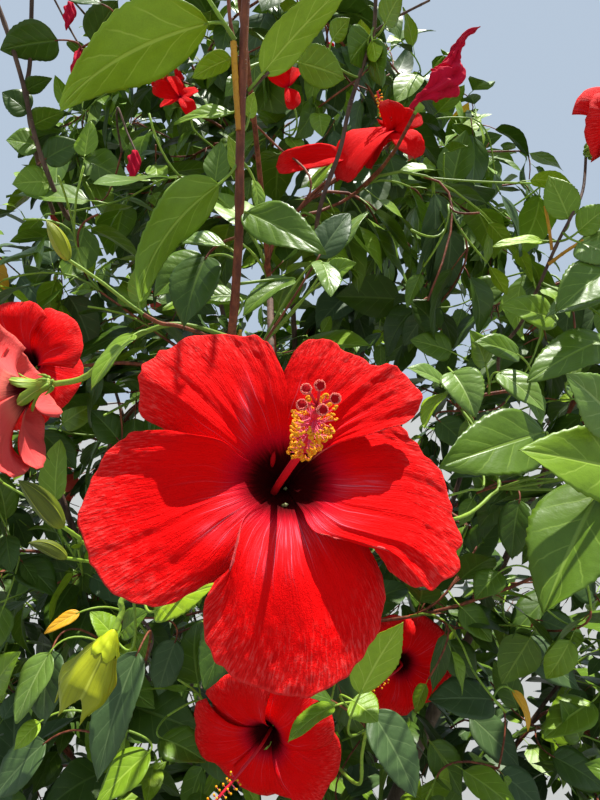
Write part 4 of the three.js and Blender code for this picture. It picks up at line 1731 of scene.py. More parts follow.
@dataclass(frozen=True)
class Foliage:
    """Twigs and leaves of every mass, joined by ring of masses and each kind apart."""

    crown: Crown
    rule: LeafRule = LeafRule()
    far: LeafShape = LeafShape(7, 5)
    near: LeafShape = LeafShape(17, 7, 0.08)
    near_depth: float = 0.8
    near_width: float = 1.2
    first_seed: int = 500
    twig_rings: int = 7
    twig_sides: int = 6

    def twig_surface(self, mass: Mass) -> Surface:
        """The twigs of a mass as rods, the older ones brown and the youngest green.

        Args:
            mass: the mass.

        Returns:
            The rods as one surface.
        """
        share = np.linspace(0, 1, self.twig_rings)
        paths = np.array([twig.course.at(share) for twig in mass.twigs])
        radii = np.array([twig.radius(share) * (0.9 if twig.order else 0.8) for twig in mass.twigs])
        tones = [BROWN if not twig.leafy
                 else REDDISH if twig.order == 0 or number % 3 == 0
                 else GREEN
                 for number, twig in enumerate(mass.twigs)]
        return tubes(paths, radii, self.twig_sides, np.array(tones))

    def build(self, palette: Palette) -> None:
        """Makes the pieces of all three rings, each of leaves and of twigs with the leaves' stalks.

        Args:
            palette: the materials.
        """
        near_batches = []
        for ring in ("mid", "low", "top"):
            masses = [mass for mass in self.crown.masses if mass.name.startswith(f"foliage_{ring}")]
            for letter, group in zip("ab", (masses[: len(masses) // 2], masses[len(masses) // 2:])):
                woods, blades = [], []
                for mass in group:
                    seed = self.crown.masses.index(mass) + self.first_seed
                    batch, stalks = self.rule.grow(self.crown, mass, seed)
                    depth, offset = VIEW.depth_and_offset(batch.roots)
                    close = (depth < self.near_depth) & (offset < self.near_width)
                    near_batches.append(batch.chosen(close))
                    blades.append(self.far.surface(batch.chosen(~close)))
                    woods += [self.twig_surface(mass), stalks]
                nodes = [mass.name for mass in group]
                leaves, wood = Surface.joined(blades), Surface.joined(woods)
                make_piece(f"leaves_{ring}_{letter}", leaves, palette.leaves, nodes)
                make_piece(f"twigs_{ring}_{letter}", wood, palette.stems)
        near = LeafBatch.joined(near_batches)
        LOG.info("%d leaves of the front are seen close up", len(near.roots))
        make_piece("leaves_front", self.near.surface(near), palette.leaves)


# Wood


@dataclass(frozen=True)
class Wood:
    """The foot and the limbs, with the bark's relief."""

    crown: Crown
    height: float = 0.2
    profile: tuple[tuple[float, float], ...] = ((0.058, 0.0), (0.047, 0.08), (0.053, 0.156), (0.0329, 0.194))
    waist_height: float = 0.08
    flare_lobes: int = 5
    flare_depth: float = 0.2
    foot_rings: int = 90
    foot_sides: int = 96
    limb_rings: int = 110
    limb_sides: int = 18
    collar: float = 0.22
    collar_length: float = 0.022
    fissure: float = 0.0016

    def foot(self) -> Surface:
        """The foot: its turned profile times a flare that fades upwards, plus upright fissures.

        Returns:
            The foot's skin, closed at its poles.
        """
        outline = spline(np.array(self.profile), self.foot_rings)
        outline = np.concatenate([[[0.0, 0.0]], outline, [[0.018, self.height - 0.001], [0.0, self.height]]])
        radius, height = outline[:, :1], outline[:, 1:]
        turn = turns(self.foot_sides)[None]
        fade = np.maximum(0, 1 - height / self.waist_height) ** 2
        swell = 1 + self.flare_depth * fade * (1 + np.cos(self.flare_lobes * turn))
        across, up = turn / (2 * math.pi) * 64 + 0 * height, height * 60 + 0 * turn
        relief = lattice_noise(across * 0.5, up * 0.5, 3) + 0.5 * lattice_noise(across, up, 4)
        reach = radius * swell + self.fissure * relief * smooth(radius, 0.0, 0.03)
        x = reach * np.cos(turn) + self.crown.lean[0] * height
        y = reach * np.sin(turn) + self.crown.lean[1] * height
        return closed_sheet(np.stack([x, y, height + 0 * turn], -1), turn, height)

    def limb(self, limb: Limb, number: int) -> Surface:
        """A limb: its taper, a collar at its foot, a slight waviness and the bark's ridges.

        Args:
            limb: the limb.
            number: picks its ridges and knots.

        Returns:
            The limb's skin.
        """
        share = np.linspace(0, 1, self.limb_rings)
        length = limb.course.length()
        collar = 1 + self.collar * np.exp(-share * length / self.collar_length)
        turn = np.arange(self.limb_sides)[None] / self.limb_sides * 32
        up = (share * length * 70)[:, None]
        ridges = lattice_noise(turn * 0.5 + 0 * up, up * 0.3 + number * 7, 5 + number)
        waves = lattice_noise(share * length * 9 + number * 11, 0 * share, 40)
        knots = np.maximum(0, lattice_noise(share * length * 24 + number * 5, 0 * share, 41) - 0.45)
        radii = (limb.radius(share) * collar * (1 + 0.05 * waves + 0.22 * knots))[:, None] + 0.0005 * ridges
        return tubes(limb.course.at(share)[None], radii[None], self.limb_sides)

    def build(self, palette: Palette) -> None:
        """Makes the one piece that stands for the foot and every limb.

        Args:
            palette: the materials.
        """
        parts = [self.foot()] + [self.limb(limb, i) for i, limb in enumerate(self.crown.limbs)]
        nodes = ["trunk"] + [limb.name for limb in self.crown.limbs]
        make_piece("bark", Surface.joined(parts), [palette.bark], nodes)


# Blooms


@dataclass(frozen=True)
class PetalOutline:
    """A petal of the large bloom: three of its four sides, as photo pixels and millimetres above its plane.

    The sides run from the claw along the clockwise edge, round the margin, and from the claw along the other
    edge.
    """

    clockwise: tuple[Triple, ...]
    margin: tuple[Triple, ...]
    other: tuple[Triple, ...]
    cup: float = 3.0
    dip: float = 0.0


UPPER_RIGHT = PetalOutline(
    clockwise=((289, 487, 0), (297, 473, 1), (310, 460, 3), (328, 447, 5), (358, 438, 7), (392, 427, 8)),
    margin=((392, 427, 8), (410, 420, 8), (421, 405, 6), (417, 391, 5), (403, 374, 4), (389, 364, 6),
            (375, 366, 3),
            (350, 352, 2), (328, 341, 0), (308, 339, -1), (294, 350, -3)),
    other=((285, 484, -1), (279, 460, -2), (275, 436, -3), (275, 412, -4), (278, 390, -5), (284, 372, -4),
           (294, 350, -3)),
)
UPPER_LEFT = PetalOutline(
    clockwise=((286, 484, 0), (290, 466, 2), (290, 448, 3), (289, 428, 4), (288, 405, 5), (285, 375, 5),
               (272, 347, 4)),
    margin=((272, 347, 4), (256, 336, 3), (221, 335, 1), (194, 337, 0), (172, 347, 1), (150, 360, 4),
            (140, 371, 6),
            (140, 388, 3), (137, 408, 0), (148, 421, -2), (176, 431, -4)),
    other=((281, 487, -1), (262, 481, -3), (242, 472, -4), (222, 460, -5), (200, 446, -5), (176, 431, -4)),
)
LEFT = PetalOutline(
    clockwise=((282, 486, 0), (268, 473, 2), (254, 464, 4), (240, 456, 6), (222, 441, 8), (190, 434, 9),
               (165, 430, 5), (135, 432, 0)),
    margin=((135, 432, 0), (115, 444, -2), (98, 462, -2), (84, 488, -2), (77, 514, -1), (83, 545, 1),
            (96, 574, 3),
            (118, 595, 4), (143, 605, 4), (168, 604, 3), (190, 594, 1), (206, 584, -1), (220, 580, -3)),
    other=((281, 491, -1), (272, 506, -1.5), (264, 520, -2), (256, 540, -2.5), (246, 560, -3), (220, 580, -3)),
    cup=0.0,
    dip=4.0,
)
BOTTOM = PetalOutline(
    clockwise=((281, 491, 0), (266, 502, 3), (252, 510, 6), (243, 521, 8), (238, 545, 8), (232, 565, 7),
               (214, 582, 5)),
    margin=((214, 582, 5), (205, 603, 4), (203, 626, 2), (210, 650, 1), (225, 671, 0), (250, 687, -1),
            (274, 695, -2),
            (294, 698, -2), (317, 692, -2), (341, 680, -2), (363, 657, -2), (378, 630, -3), (384, 603, -4),
            (382, 575, -5)),
    other=((288, 491, -1), (302, 497, -2), (318, 504, -4), (336, 514, -5), (354, 528, -6), (370, 550, -6),
           (382, 575, -5)),
)
RIGHT = PetalOutline(
    clockwise=((288, 491, 0), (296, 502, 2), (303, 512, 4), (308, 524, 6), (318, 533, 7), (345, 538, 7),
               (368, 543, 6), (390, 571, 3)),
    margin=((390, 571, 3), (400, 580, 2), (414, 589, 2), (424, 588, 3), (432, 592, 2), (439, 583, 2),
            (446, 580, 3),
            (453, 574, 2), (459, 563, 1), (456, 552, 0), (462, 541, 1), (455, 524, 0), (449, 500, 0),
            (440, 473, -1),
            (424, 453, -2), (410, 438, -3), (398, 426, -4)),
    other=((289, 486, -1), (300, 466, -2), (314, 448, -3), (336, 434, -4), (368, 424, -4), (398, 426, -4)),
)


@dataclass(frozen=True)
class Throat:
    """The funnel that a bloom's petals sink into: minus a depth times e to the minus distance over a reach."""

    depth: float
    reach: float = 0.011

    def sunk(self, distance: Array | float) -> Array | float:
        """How far the funnel lies off the bloom's plane, which is negative."""
        return -self.depth * np.exp(-distance / self.reach)

    def radius(self, below: Array) -> Array:
        """How wide the funnel is at a depth."""
        return self.reach * np.log(self.depth / np.clip(below, 1e-4, self.depth))


CALYX_THICKNESS = 0.0004
PETAL_REACH = 0.072


@dataclass(frozen=True)
class Calyx:
    """A bloom's green cup, which hugs the back of the funnel and ends in five points, with its bracts."""

    throat: Throat
    foot_depth: float
    length: float = 0.024
    bulb: float = 0.0052
    bulb_height: float = 0.006
    stand_off: float = 0.0014
    rings: int = 12
    sides: int = 40
    bracts: int = 7
    bract_length: float = 0.012

    def cup(self, foot: Array, facing: Array) -> Surface:
        """The cup: as wide as the bulb at its foot, then as the funnel and a little more, with a lobed rim.

        Args:
            foot: where the stalk ends.
            facing: the way the bloom faces.

        Returns:
            A sheet, closed round its axis.
        """
        turn = turns(self.sides)[None]
        share = np.linspace(0.0, 1.0, self.rings)[:, None] ** 1.3
        height = share * self.length * (0.62 + 0.38 * np.abs(np.cos(2.5 * turn)) ** 0.8)
        swell = 1 - np.clip(1 - height / self.bulb_height, 0, 1) ** 2
        bulb = self.bulb * np.sqrt(np.maximum(swell, 0.04))
        hug = self.throat.radius(self.foot_depth - height) + self.stand_off
        radius = np.maximum(bulb, hug)
        points = foot + radius[..., None] * around(facing, -turn) + (height + 0 * turn)[..., None] * facing
        return closed_sheet(points, turn / (2 * math.pi), share)

    def bract_surface(self, foot: Array, facing: Array) -> Surface:
        """The bracts: narrow leaflets that spread from the foot and bend forward.

        Args:
            foot: where the stalk ends.
            facing: the way the bloom faces.

        Returns:
            The bracts as thin rods.
        """
        t = np.linspace(0, 1, 6)[None, :, None]
        out = 0.003 + self.bract_length * (0.75 * t - 0.15 * t**2)
        ahead = facing * (0.001 + self.bract_length * 0.75 * t**2)
        path = foot + out * around(facing, -turns(self.bracts)[:, None]) + ahead
        radii = np.tile(np.array([0.0006, 0.0011, 0.0011, 0.0009, 0.0006, 0.0002]), (self.bracts, 1))
        return tubes(path, radii, 5)

    def bulb_surface(self, foot: Array, facing: Array) -> Surface:
        """The knob under the cup, which closes it round the stalk's end.

        Args:
            foot: where the stalk ends.
            facing: the way the bloom faces.

        Returns:
            The knob.
        """
        share = np.linspace(-0.3, 1, 8)
        path = foot + facing * (share[:, None] * self.bulb_height)
        radii = self.bulb * 0.9 * np.sqrt(np.clip(1 - (1 - np.maximum(share, 0)) ** 2, 0.12, 1))
        return tubes(path[None], radii[None], 16)


@dataclass(frozen=True)
class FrontBloom:
    """The large bloom at the front: five petals, the column with its stamens and stigmas, and the calyx."""

    crown: Crown
    outlines: tuple[PetalOutline, ...] = (UPPER_RIGHT, UPPER_LEFT, LEFT, BOTTOM, RIGHT)
    rows: int = 104
    columns: int = 112
    eye_sight: tuple[float, float] = (284.0, 471.0)
    throat: Throat = Throat(0.03)
    thickness: float = 0.0003
    column_sights: tuple[Triple, ...] = (
        (272, 496, 0.243), (277, 487, 0.233), (287, 472, 0.22), (298, 456, 0.207), (307, 438, 0.194),
        (313, 422, 0.184), (316, 411, 0.177),
    )
    column_radius: float = 0.00142
    brush_share: tuple[float, float] = (0.535, 0.9)
    stigma_sights: tuple[Triple, ...] = (
        (306.1, 389.1, 0.168), (319.9, 385.4, 0.17), (335.5, 398.5, 0.171), (302.0, 404.8, 0.166),
        (322.3, 409.8, 0.164),
    )
    folds: float = 0.0013
    pleats: float = 0.00052
    crinkles: float = 0.0003
    ruffles: float = 0.0016
    nicks: float = 0.0008
    floor_depth: float = 0.0016
    floor_radius: float = 0.007
    style_radius: float = 0.00046
    stigma_radius: float = 0.0015
    stigma_height: float = 0.0005
    stamens: int = 140
    stigma_hairs: int = 150
    calyx_depth: float = 0.04
    petaloid_sights: tuple[Triple, ...] = ((272, 467, 1.2), (273, 459, 1.6), (274.5, 451, 1.2))
    speck_sights: tuple[Triple, ...] = ((285.5, 488.8, 9.0), (285.0, 505.0, 14.0))
    dark_eye: tuple[float, float, float, float] = (286.0, 481.0, 41.0, 34.0)
    pale_places: tuple[tuple[float, float, float, float], ...] = (
        (287, 536, 20, 30), (312, 528, 18, 16), (352, 486, 30, 8), (236, 508, 24, 16), (218, 534, 18, 10),
        (246, 405, 6, 28), (258, 556, 9, 22), (330, 520, 24, 7),
    )

    def frame_of(self) -> tuple[Array, Array, Array, Array]:
        """The bloom's eye, and its own right, up and facing.

        Returns:
            The eye, right, up and facing.
        """
        facing = self.crown.facing
        right = unit(np.array([1.0, 0.0, 0.0]) - facing[0] * facing)
        eye = VIEW.on_plane(*self.eye_sight, self.crown.throat, facing)
        return eye, right, np.cross(facing, right), facing

    def from_axis(self, points: Array) -> Array:
        """How far points lie from the bloom's axis.

        Args:
            points: the points, along the last axis.

        Returns:
            Their distances in metres.
        """
        eye, _, _, facing = self.frame_of()
        away = points - eye
        return np.linalg.norm(away - (away @ facing)[..., None] * facing, axis=-1)

    def flat_place(self, across: float, down: float, height: float) -> Array:
        """The place that a pixel shows once the funnel is added to it, found by closing in on it in steps.

        Args:
            across: pixels from the left edge.
            down: pixels from the top edge.
            height: millimetres above the bloom's plane, before the funnel.

        Returns:
            The place before the funnel is added.
        """
        facing = self.crown.facing
        origin = self.crown.throat + facing * height / 1000
        flat = VIEW.on_plane(across, down, origin, facing)
        for _ in range(16):
            sunk = self.throat.sunk(self.from_axis(flat)) * facing
            flat = (flat + VIEW.on_plane(across, down, origin + sunk, facing) - sunk) / 2
        return flat

    def edge(self, sights: Sequence[Triple], count: int) -> Array:
        """A side of a petal, before the funnel, at even steps of its length.

        Args:
            sights: the side's pixels and heights.
            count: how many points to make.

        Returns:
            The points, one a row.
        """
        line = spline(np.array([self.flat_place(*sight) for sight in sights]), 240)
        run = np.concatenate([[0.0], np.cumsum(np.linalg.norm(np.diff(line, axis=0), axis=1))])
        even = np.linspace(0, run[-1], count)
        return np.stack([np.interp(even, run, line[:, axis]) for axis in range(3)], -1)

    def petal(self, outline: PetalOutline, number: int) -> Surface:
        """A petal: the patch between its sides, plus the funnel, folds, pleats and ruffles along the facing.

        The patch is the sum of the two blends between opposite sides, less the blend of its corners.

        Args:
            outline: the petal's sides.
            number: picks its folds.

        Returns:
            The petal as a sheet.
        """
        facing = self.crown.facing
        one = self.edge(outline.clockwise, self.rows)[:, None]
        other = self.edge(outline.other, self.rows)[:, None]
        margin = self.edge(outline.margin, self.columns)[None]
        s = np.linspace(0, 1, self.columns)[None, :, None]
        r = np.linspace(0, 1, self.rows)[:, None, None]
        claw = one[:1] + (other[:1] - one[:1]) * s
        corners = (1 - r) * claw + r * (one[-1:] + (other[-1:] - one[-1:]) * s)
        patch = one + (other - one) * s + (1 - r) * claw + r * margin - corners
        distance = self.from_axis(patch)
        s, r = s[..., 0], r[..., 0]
        middle = np.sin(math.pi * s)
        shift = number * 7.3
        cup = outline.cup / 1000 * middle * np.sin(math.pi * np.clip(r * 0.9, 0, 1))
        dip = outline.dip / 1000 * smooth(s, 0.0, 0.26) * (1 - smooth(s, 0.26, 1.0)) * smooth(r, 0.15, 0.5)
        folds = self.folds * lattice_noise(s * 6 + shift, r * 1.3, 55 + number) * smooth(r, 0.1, 0.4)
        pleats = self.pleats * lattice_noise(s * 26 + shift, r * 2.4, 60 + number) * smooth(r, 0.12, 0.5)
        crinkles = self.crinkles * lattice_noise(s * 44, r * 22, 70 + number) * smooth(r, 0.45, 0.95)
        ruffles = self.ruffles * lattice_noise(s * 8 + shift, r * 1.5, 80 + number) * smooth(r, 0.6, 1.0)
        shape = cup - dip + folds + pleats + crinkles + ruffles
        relief = self.throat.sunk(distance) + shape * smooth(distance, 0.008, 0.03)
        nicks = self.nicks * lattice_noise(s * 30 + shift, 0 * s, 95 + number) * smooth(r, 0.9, 1.0)
        outwards = unit(patch - self.frame_of()[0])
        points = patch + relief[..., None] * facing + nicks[..., None] * outwards
        across, along = s + number * 1.7 + 0 * r, (distance / PETAL_REACH)[::-1]
        surface = sheets(points[::-1][None], across, along, np.zeros(1, int))
        surface.petal = self.petal_numbers(surface.points, (r + 0 * s)[::-1].ravel())
        return surface

    def petal_numbers(self, points: Array, reach: Array) -> Array:
        """Each point's reach, how far out of the eye it is, and how pale: sums of bell shapes round sights.

        Args:
            points: the petal's points.
            reach: their shares of the way from claw to margin.

        Returns:
            Three numbers a point.
        """
        x, y = VIEW.pixels(points)
        middle_x, middle_y, half_width, half_height = self.dark_eye
        out = np.hypot((x - middle_x) / half_width, (y - middle_y) / half_height)
        pale = sum(np.exp(-((x - a) / w) ** 2 - ((y - b) / h) ** 2) for a, b, w, h in self.pale_places)
        return np.stack([reach, out, np.minimum(pale, 1.0) * smooth(out, 1.0, 1.5)], -1)

    def bottom(self) -> Surface:
        """The dark floor of the throat, under the petals' claws: a turned surface that follows the funnel.

        Returns:
            The floor as a sheet, closed round the bloom's axis.
        """
        eye, right, up, facing = self.frame_of()
        radius = np.linspace(0.0, self.floor_radius, 12)[:, None]
        turn = turns(40)[None]
        depth = self.throat.sunk(radius) - self.floor_depth + 0 * turn
        flat = (radius * np.cos(turn))[..., None] * right + (radius * np.sin(turn))[..., None] * up
        floor = closed_sheet(eye + flat + depth[..., None] * facing, turn, 0.0 * radius + 0.02)
        floor.petal = np.zeros((len(floor.points), 3))
        return floor

    def column_path(self, count: int) -> Array:
        """The column's line, from deep in the throat to where its styles part."""
        return spline(VIEW.points(self.column_sights), count)

    def column(self) -> Surface:
        """The column and the five styles that part from its end.

        Returns:
            The column and its styles as one surface.
        """
        path = self.column_path(60)
        share = np.linspace(0, 1, 60)
        knobs = 0.1 * np.sin(share * 70) * smooth(share, 0.45, 0.6)
        radii = self.column_radius * (1.0 - 0.3 * smooth(share, 0.5, 1.0) + knobs)
        parts = [tubes(path[None], radii[None], 16)]
        start = path[-1]
        heading = unit(path[-1] - path[-8])
        for sight in self.stigma_sights:
            end = VIEW.point(*sight)
            bend = start + heading * np.linalg.norm(end - start) * 0.55
            style = Course(np.array([start - heading * 0.001, bend, end])).at(np.linspace(0, 1, 14))
            parts.append(tubes(style[None], np.full((1, len(style)), self.style_radius), 8))
        return Surface.joined(parts)

    def stamen_lines(self) -> tuple[Array, Array]:
        """The filaments: each leaves the column by the golden angle and bends forward, longer near the tip.

        Returns:
            The filaments' lines, and the way that each anther faces.
        """
        random = np.random.default_rng(31)
        path = self.column_path(200)
        run = np.linspace(0, 1, self.stamens)
        low, high = self.brush_share
        index = ((low + (high - low) * run) * 199).astype(int)
        foot = path[index]
        heading = unit(np.gradient(path, axis=0))[index]
        outwards = around(heading,
                          np.arange(self.stamens) * GOLDEN_ANGLE + random.normal(0, 0.25, self.stamens))
        reach = ((0.0044 + 0.0026 * smooth(run, 0.0, 0.6)) * random.uniform(0.82, 1.12, self.stamens))[:, None]
        forward = (random.uniform(-0.1, 0.35, self.stamens) + 0.25 * run)[:, None]
        t = np.linspace(0, 1, 7)[None, :, None]
        lines = (
            foot[:, None]
            + outwards[:, None] * (reach[:, None] * (t - 0.12 * t**3))
            + heading[:, None] * (forward * reach)[:, None] * t**2
        )
        return lines, unit(outwards + 0.4 * heading + random.normal(0, 0.35, (self.stamens, 3)))

    def anthers(self, lines: Array, headings: Array, radius: float = 0.00031,
                ring: float = 0.00058) -> Surface:
        """Anthers: horseshoes of pollen sacs, three quarters of a ring at the end of each filament.

        Args:
            lines: the filaments' lines.
            headings: the way that each anther faces.
            radius: how thick a sac is.
            ring: how wide the horseshoe is.

        Returns:
            The anthers as one surface.
        """
        random = np.random.default_rng(32)
        count = len(lines)
        side = unit(np.cross(headings, unit(random.normal(0, 1, (count, 3)))))
        over = np.cross(headings, side)
        turn = np.linspace(-2.5, 2.5, 9)[None, :, None]
        size = random.uniform(0.8, 1.3, count)[:, None, None]
        curl = random.uniform(-0.9, 0.9, count)[:, None, None]
        bow = (
            headings[:, None] * (np.cos(turn) - 0.6) * ring * size
            + side[:, None] * np.sin(turn) * ring * size
            + over[:, None] * np.sin(turn * 1.3) * curl * ring * size
        )
        radii = radius * size[..., 0] * (1 + 0.22 * np.sin(np.arange(9) * 2.3))[None]
        return tubes(lines[:, -1:] + bow, radii, 6)

    def stigmas(self) -> tuple[Surface, Surface]:
        """The stigmas: round velvety pads, each with a rim of short pale hairs that spread to all sides.

        Returns:
            The pads, and the hairs.
        """
        eye = np.array(VIEW.eye)
        random = np.random.default_rng(33)
        pads, hairs = [], []
        for number, sight in enumerate(self.stigma_sights):
            middle = VIEW.point(*sight)
            tilt = 0.05 * np.array([math.sin(number * 2.0), 0.0, math.cos(number * 2.0)])
            facing = unit(eye - middle + tilt)
            height = np.linspace(-1, 1, 9)
            path = middle + height[:, None] * self.stigma_height * facing
            radii = self.stigma_radius * np.sqrt(np.maximum(1 - height**2, 0.02)) ** 0.6
            pads.append(tubes(path[None], radii[None], 24))
            count = self.stigma_hairs
            turn = turns(count) + random.normal(0, 0.05, count)
            level = random.uniform(-0.5, 0.7, count)[:, None]
            out = unit(around(facing, turn) + level * facing)
            start = middle + out * 0.00136
            length = random.uniform(0.00022, 0.00046, count)[:, None, None]
            line = start[:, None] + out[:, None] * length * np.linspace(0, 1, 3)[None, :, None]
            hairs.append(tubes(line, np.tile([0.00011, 0.00009, 0.00005], (count, 1)), 4))
        return Surface.joined(pads), Surface.joined(hairs)

    def specks(self) -> Surface:
        """Two openings between the petals' claws, through which the green of the calyx shows.

        Returns:
            Both as one surface.
        """
        facing = self.crown.facing
        parts = []
        for across, down, half in self.speck_sights:
            flat = self.flat_place(across, down, 0.8)
            middle = flat + self.throat.sunk(self.from_axis(flat)) * facing
            side = unit(np.array([0.9, -0.2, 0.25]))
            share = np.linspace(-1, 1, 9)
            path = middle + side * share[:, None] * half * 1e-4
            radii = 0.00075 * np.sqrt(np.maximum(1 - share**2, 0.02)) * (1 + 0.25 * np.sin(share * 7))
            parts.append(tubes(path[None], radii[None], 10))
        return Surface.joined(parts)

    def petaloid(self) -> Surface:
        """The small pink flap at the claws: a leaflet as a narrow spindle that lies on the petals.

        Returns:
            The flap.
        """
        share = np.linspace(0, 1, 12)
        flat = np.array([self.flat_place(*sight) for sight in self.petaloid_sights])
        path = spline(flat + self.throat.sunk(self.from_axis(flat))[:, None] * self.crown.facing, 12)
        radii = 0.0011 * np.sin(math.pi * np.clip(share * 0.9 + 0.08, 0, 1))
        return tubes(path[None], radii[None], 10)

    def build(self, palette: Palette) -> None:
        """Makes the pieces of the large bloom.

        Args:
            palette: the materials.
        """
        for number, outline in enumerate(self.outlines):
            nodes = ["bloom_front"] if number == 0 else []
            surface = self.petal(outline, number)
            make_piece(f"front_petal_{number + 1}", surface, [palette.petal], nodes, self.thickness,
                       palette.petal_back)
        lines, headings = self.stamen_lines()
        taper = np.linspace(0.00022, 0.00014, lines.shape[1])
        pads, hairs = self.stigmas()
        for name, surface, finish in (
            ("throat", self.bottom(), palette.petal),
            ("column", self.column(), palette.column),
            ("filaments", tubes(lines, np.tile(taper, (len(lines), 1)), 5), palette.filament),
            ("anthers", self.anthers(lines, headings), palette.anther),
            ("stigmas", pads, palette.stigma),
            ("stigma_hairs", hairs, palette.fuzz),
            ("specks", self.specks(), palette.speck),
            ("petaloid", self.petaloid(), palette.stigma),
        ):
            make_piece(f"front_{name}", surface, [finish])
        eye, _, _, facing = self.frame_of()
        calyx = Calyx(self.throat, self.calyx_depth)
        foot = eye - facing * self.calyx_depth
        make_piece("front_calyx", calyx.cup(foot, facing), [palette.calyx], (), CALYX_THICKNESS)
        bracts = Surface.joined([calyx.bract_surface(foot, facing), calyx.bulb_surface(foot, facing)])
        make_piece("front_bracts", bracts, [palette.stalk])


@dataclass(frozen=True)
class BloomTouch:
    """How a small bloom differs from the rule: size, shift in metres, petals' lift in degrees, wilt and more.
    """

    size: float = 1.0
    shift: Triple = (0.0, 0.0, 0.0)
    lift: float = 14.0
    wilt: float = 0.0
    facing: Triple | None = None
    column: Triple | None = None
    bend: Triple | None = None
    carried: bool = False


TOUCHES = {
    0: BloomTouch(0.8, (-0.005, 0.0, -0.01), 8.0, 0.0, (-0.12, -0.98, 0.12), (-0.8, -0.6, -0.05)),
    1: BloomTouch(0.84, (0.013, 0.0, 0.012), 18.0, 0.0, (-0.93, 0.05, -0.34), carried=True),
    2: BloomTouch(0.95, (0.001, 0.0, 0.004), 14.0, 0.0, (-0.3, -0.9, -0.12), (-0.66, -0.6, -0.5)),
    3: BloomTouch(0.84, (0.0, 0.0, 0.0), 10.0, 0.0, None, (-0.8, -0.55, -0.25)),
    4: BloomTouch(0.42, (0.053, 0.0, 0.018), 30.0, 0.7, (-0.5, -0.84, -0.18), (-0.3, -0.5, 0.5)),
    5: BloomTouch(bend=(372, 205, 0.62)),
    6: BloomTouch(0.62, (0.026, 0.0, 0.004), 16.0, carried=True),
    13: BloomTouch(0.9, (0.0, 0.0, 0.0), 30.0, 0.8),
    22: BloomTouch(0.9, (0.0, 0.0, 0.0), 30.0, 0.8),
    29: BloomTouch(0.5, (0.044, 0.0, 0.026), 34.0, 0.5),
    30: BloomTouch(0.55, (-0.06, 0.0, -0.03), 30.0, 0.3),
}


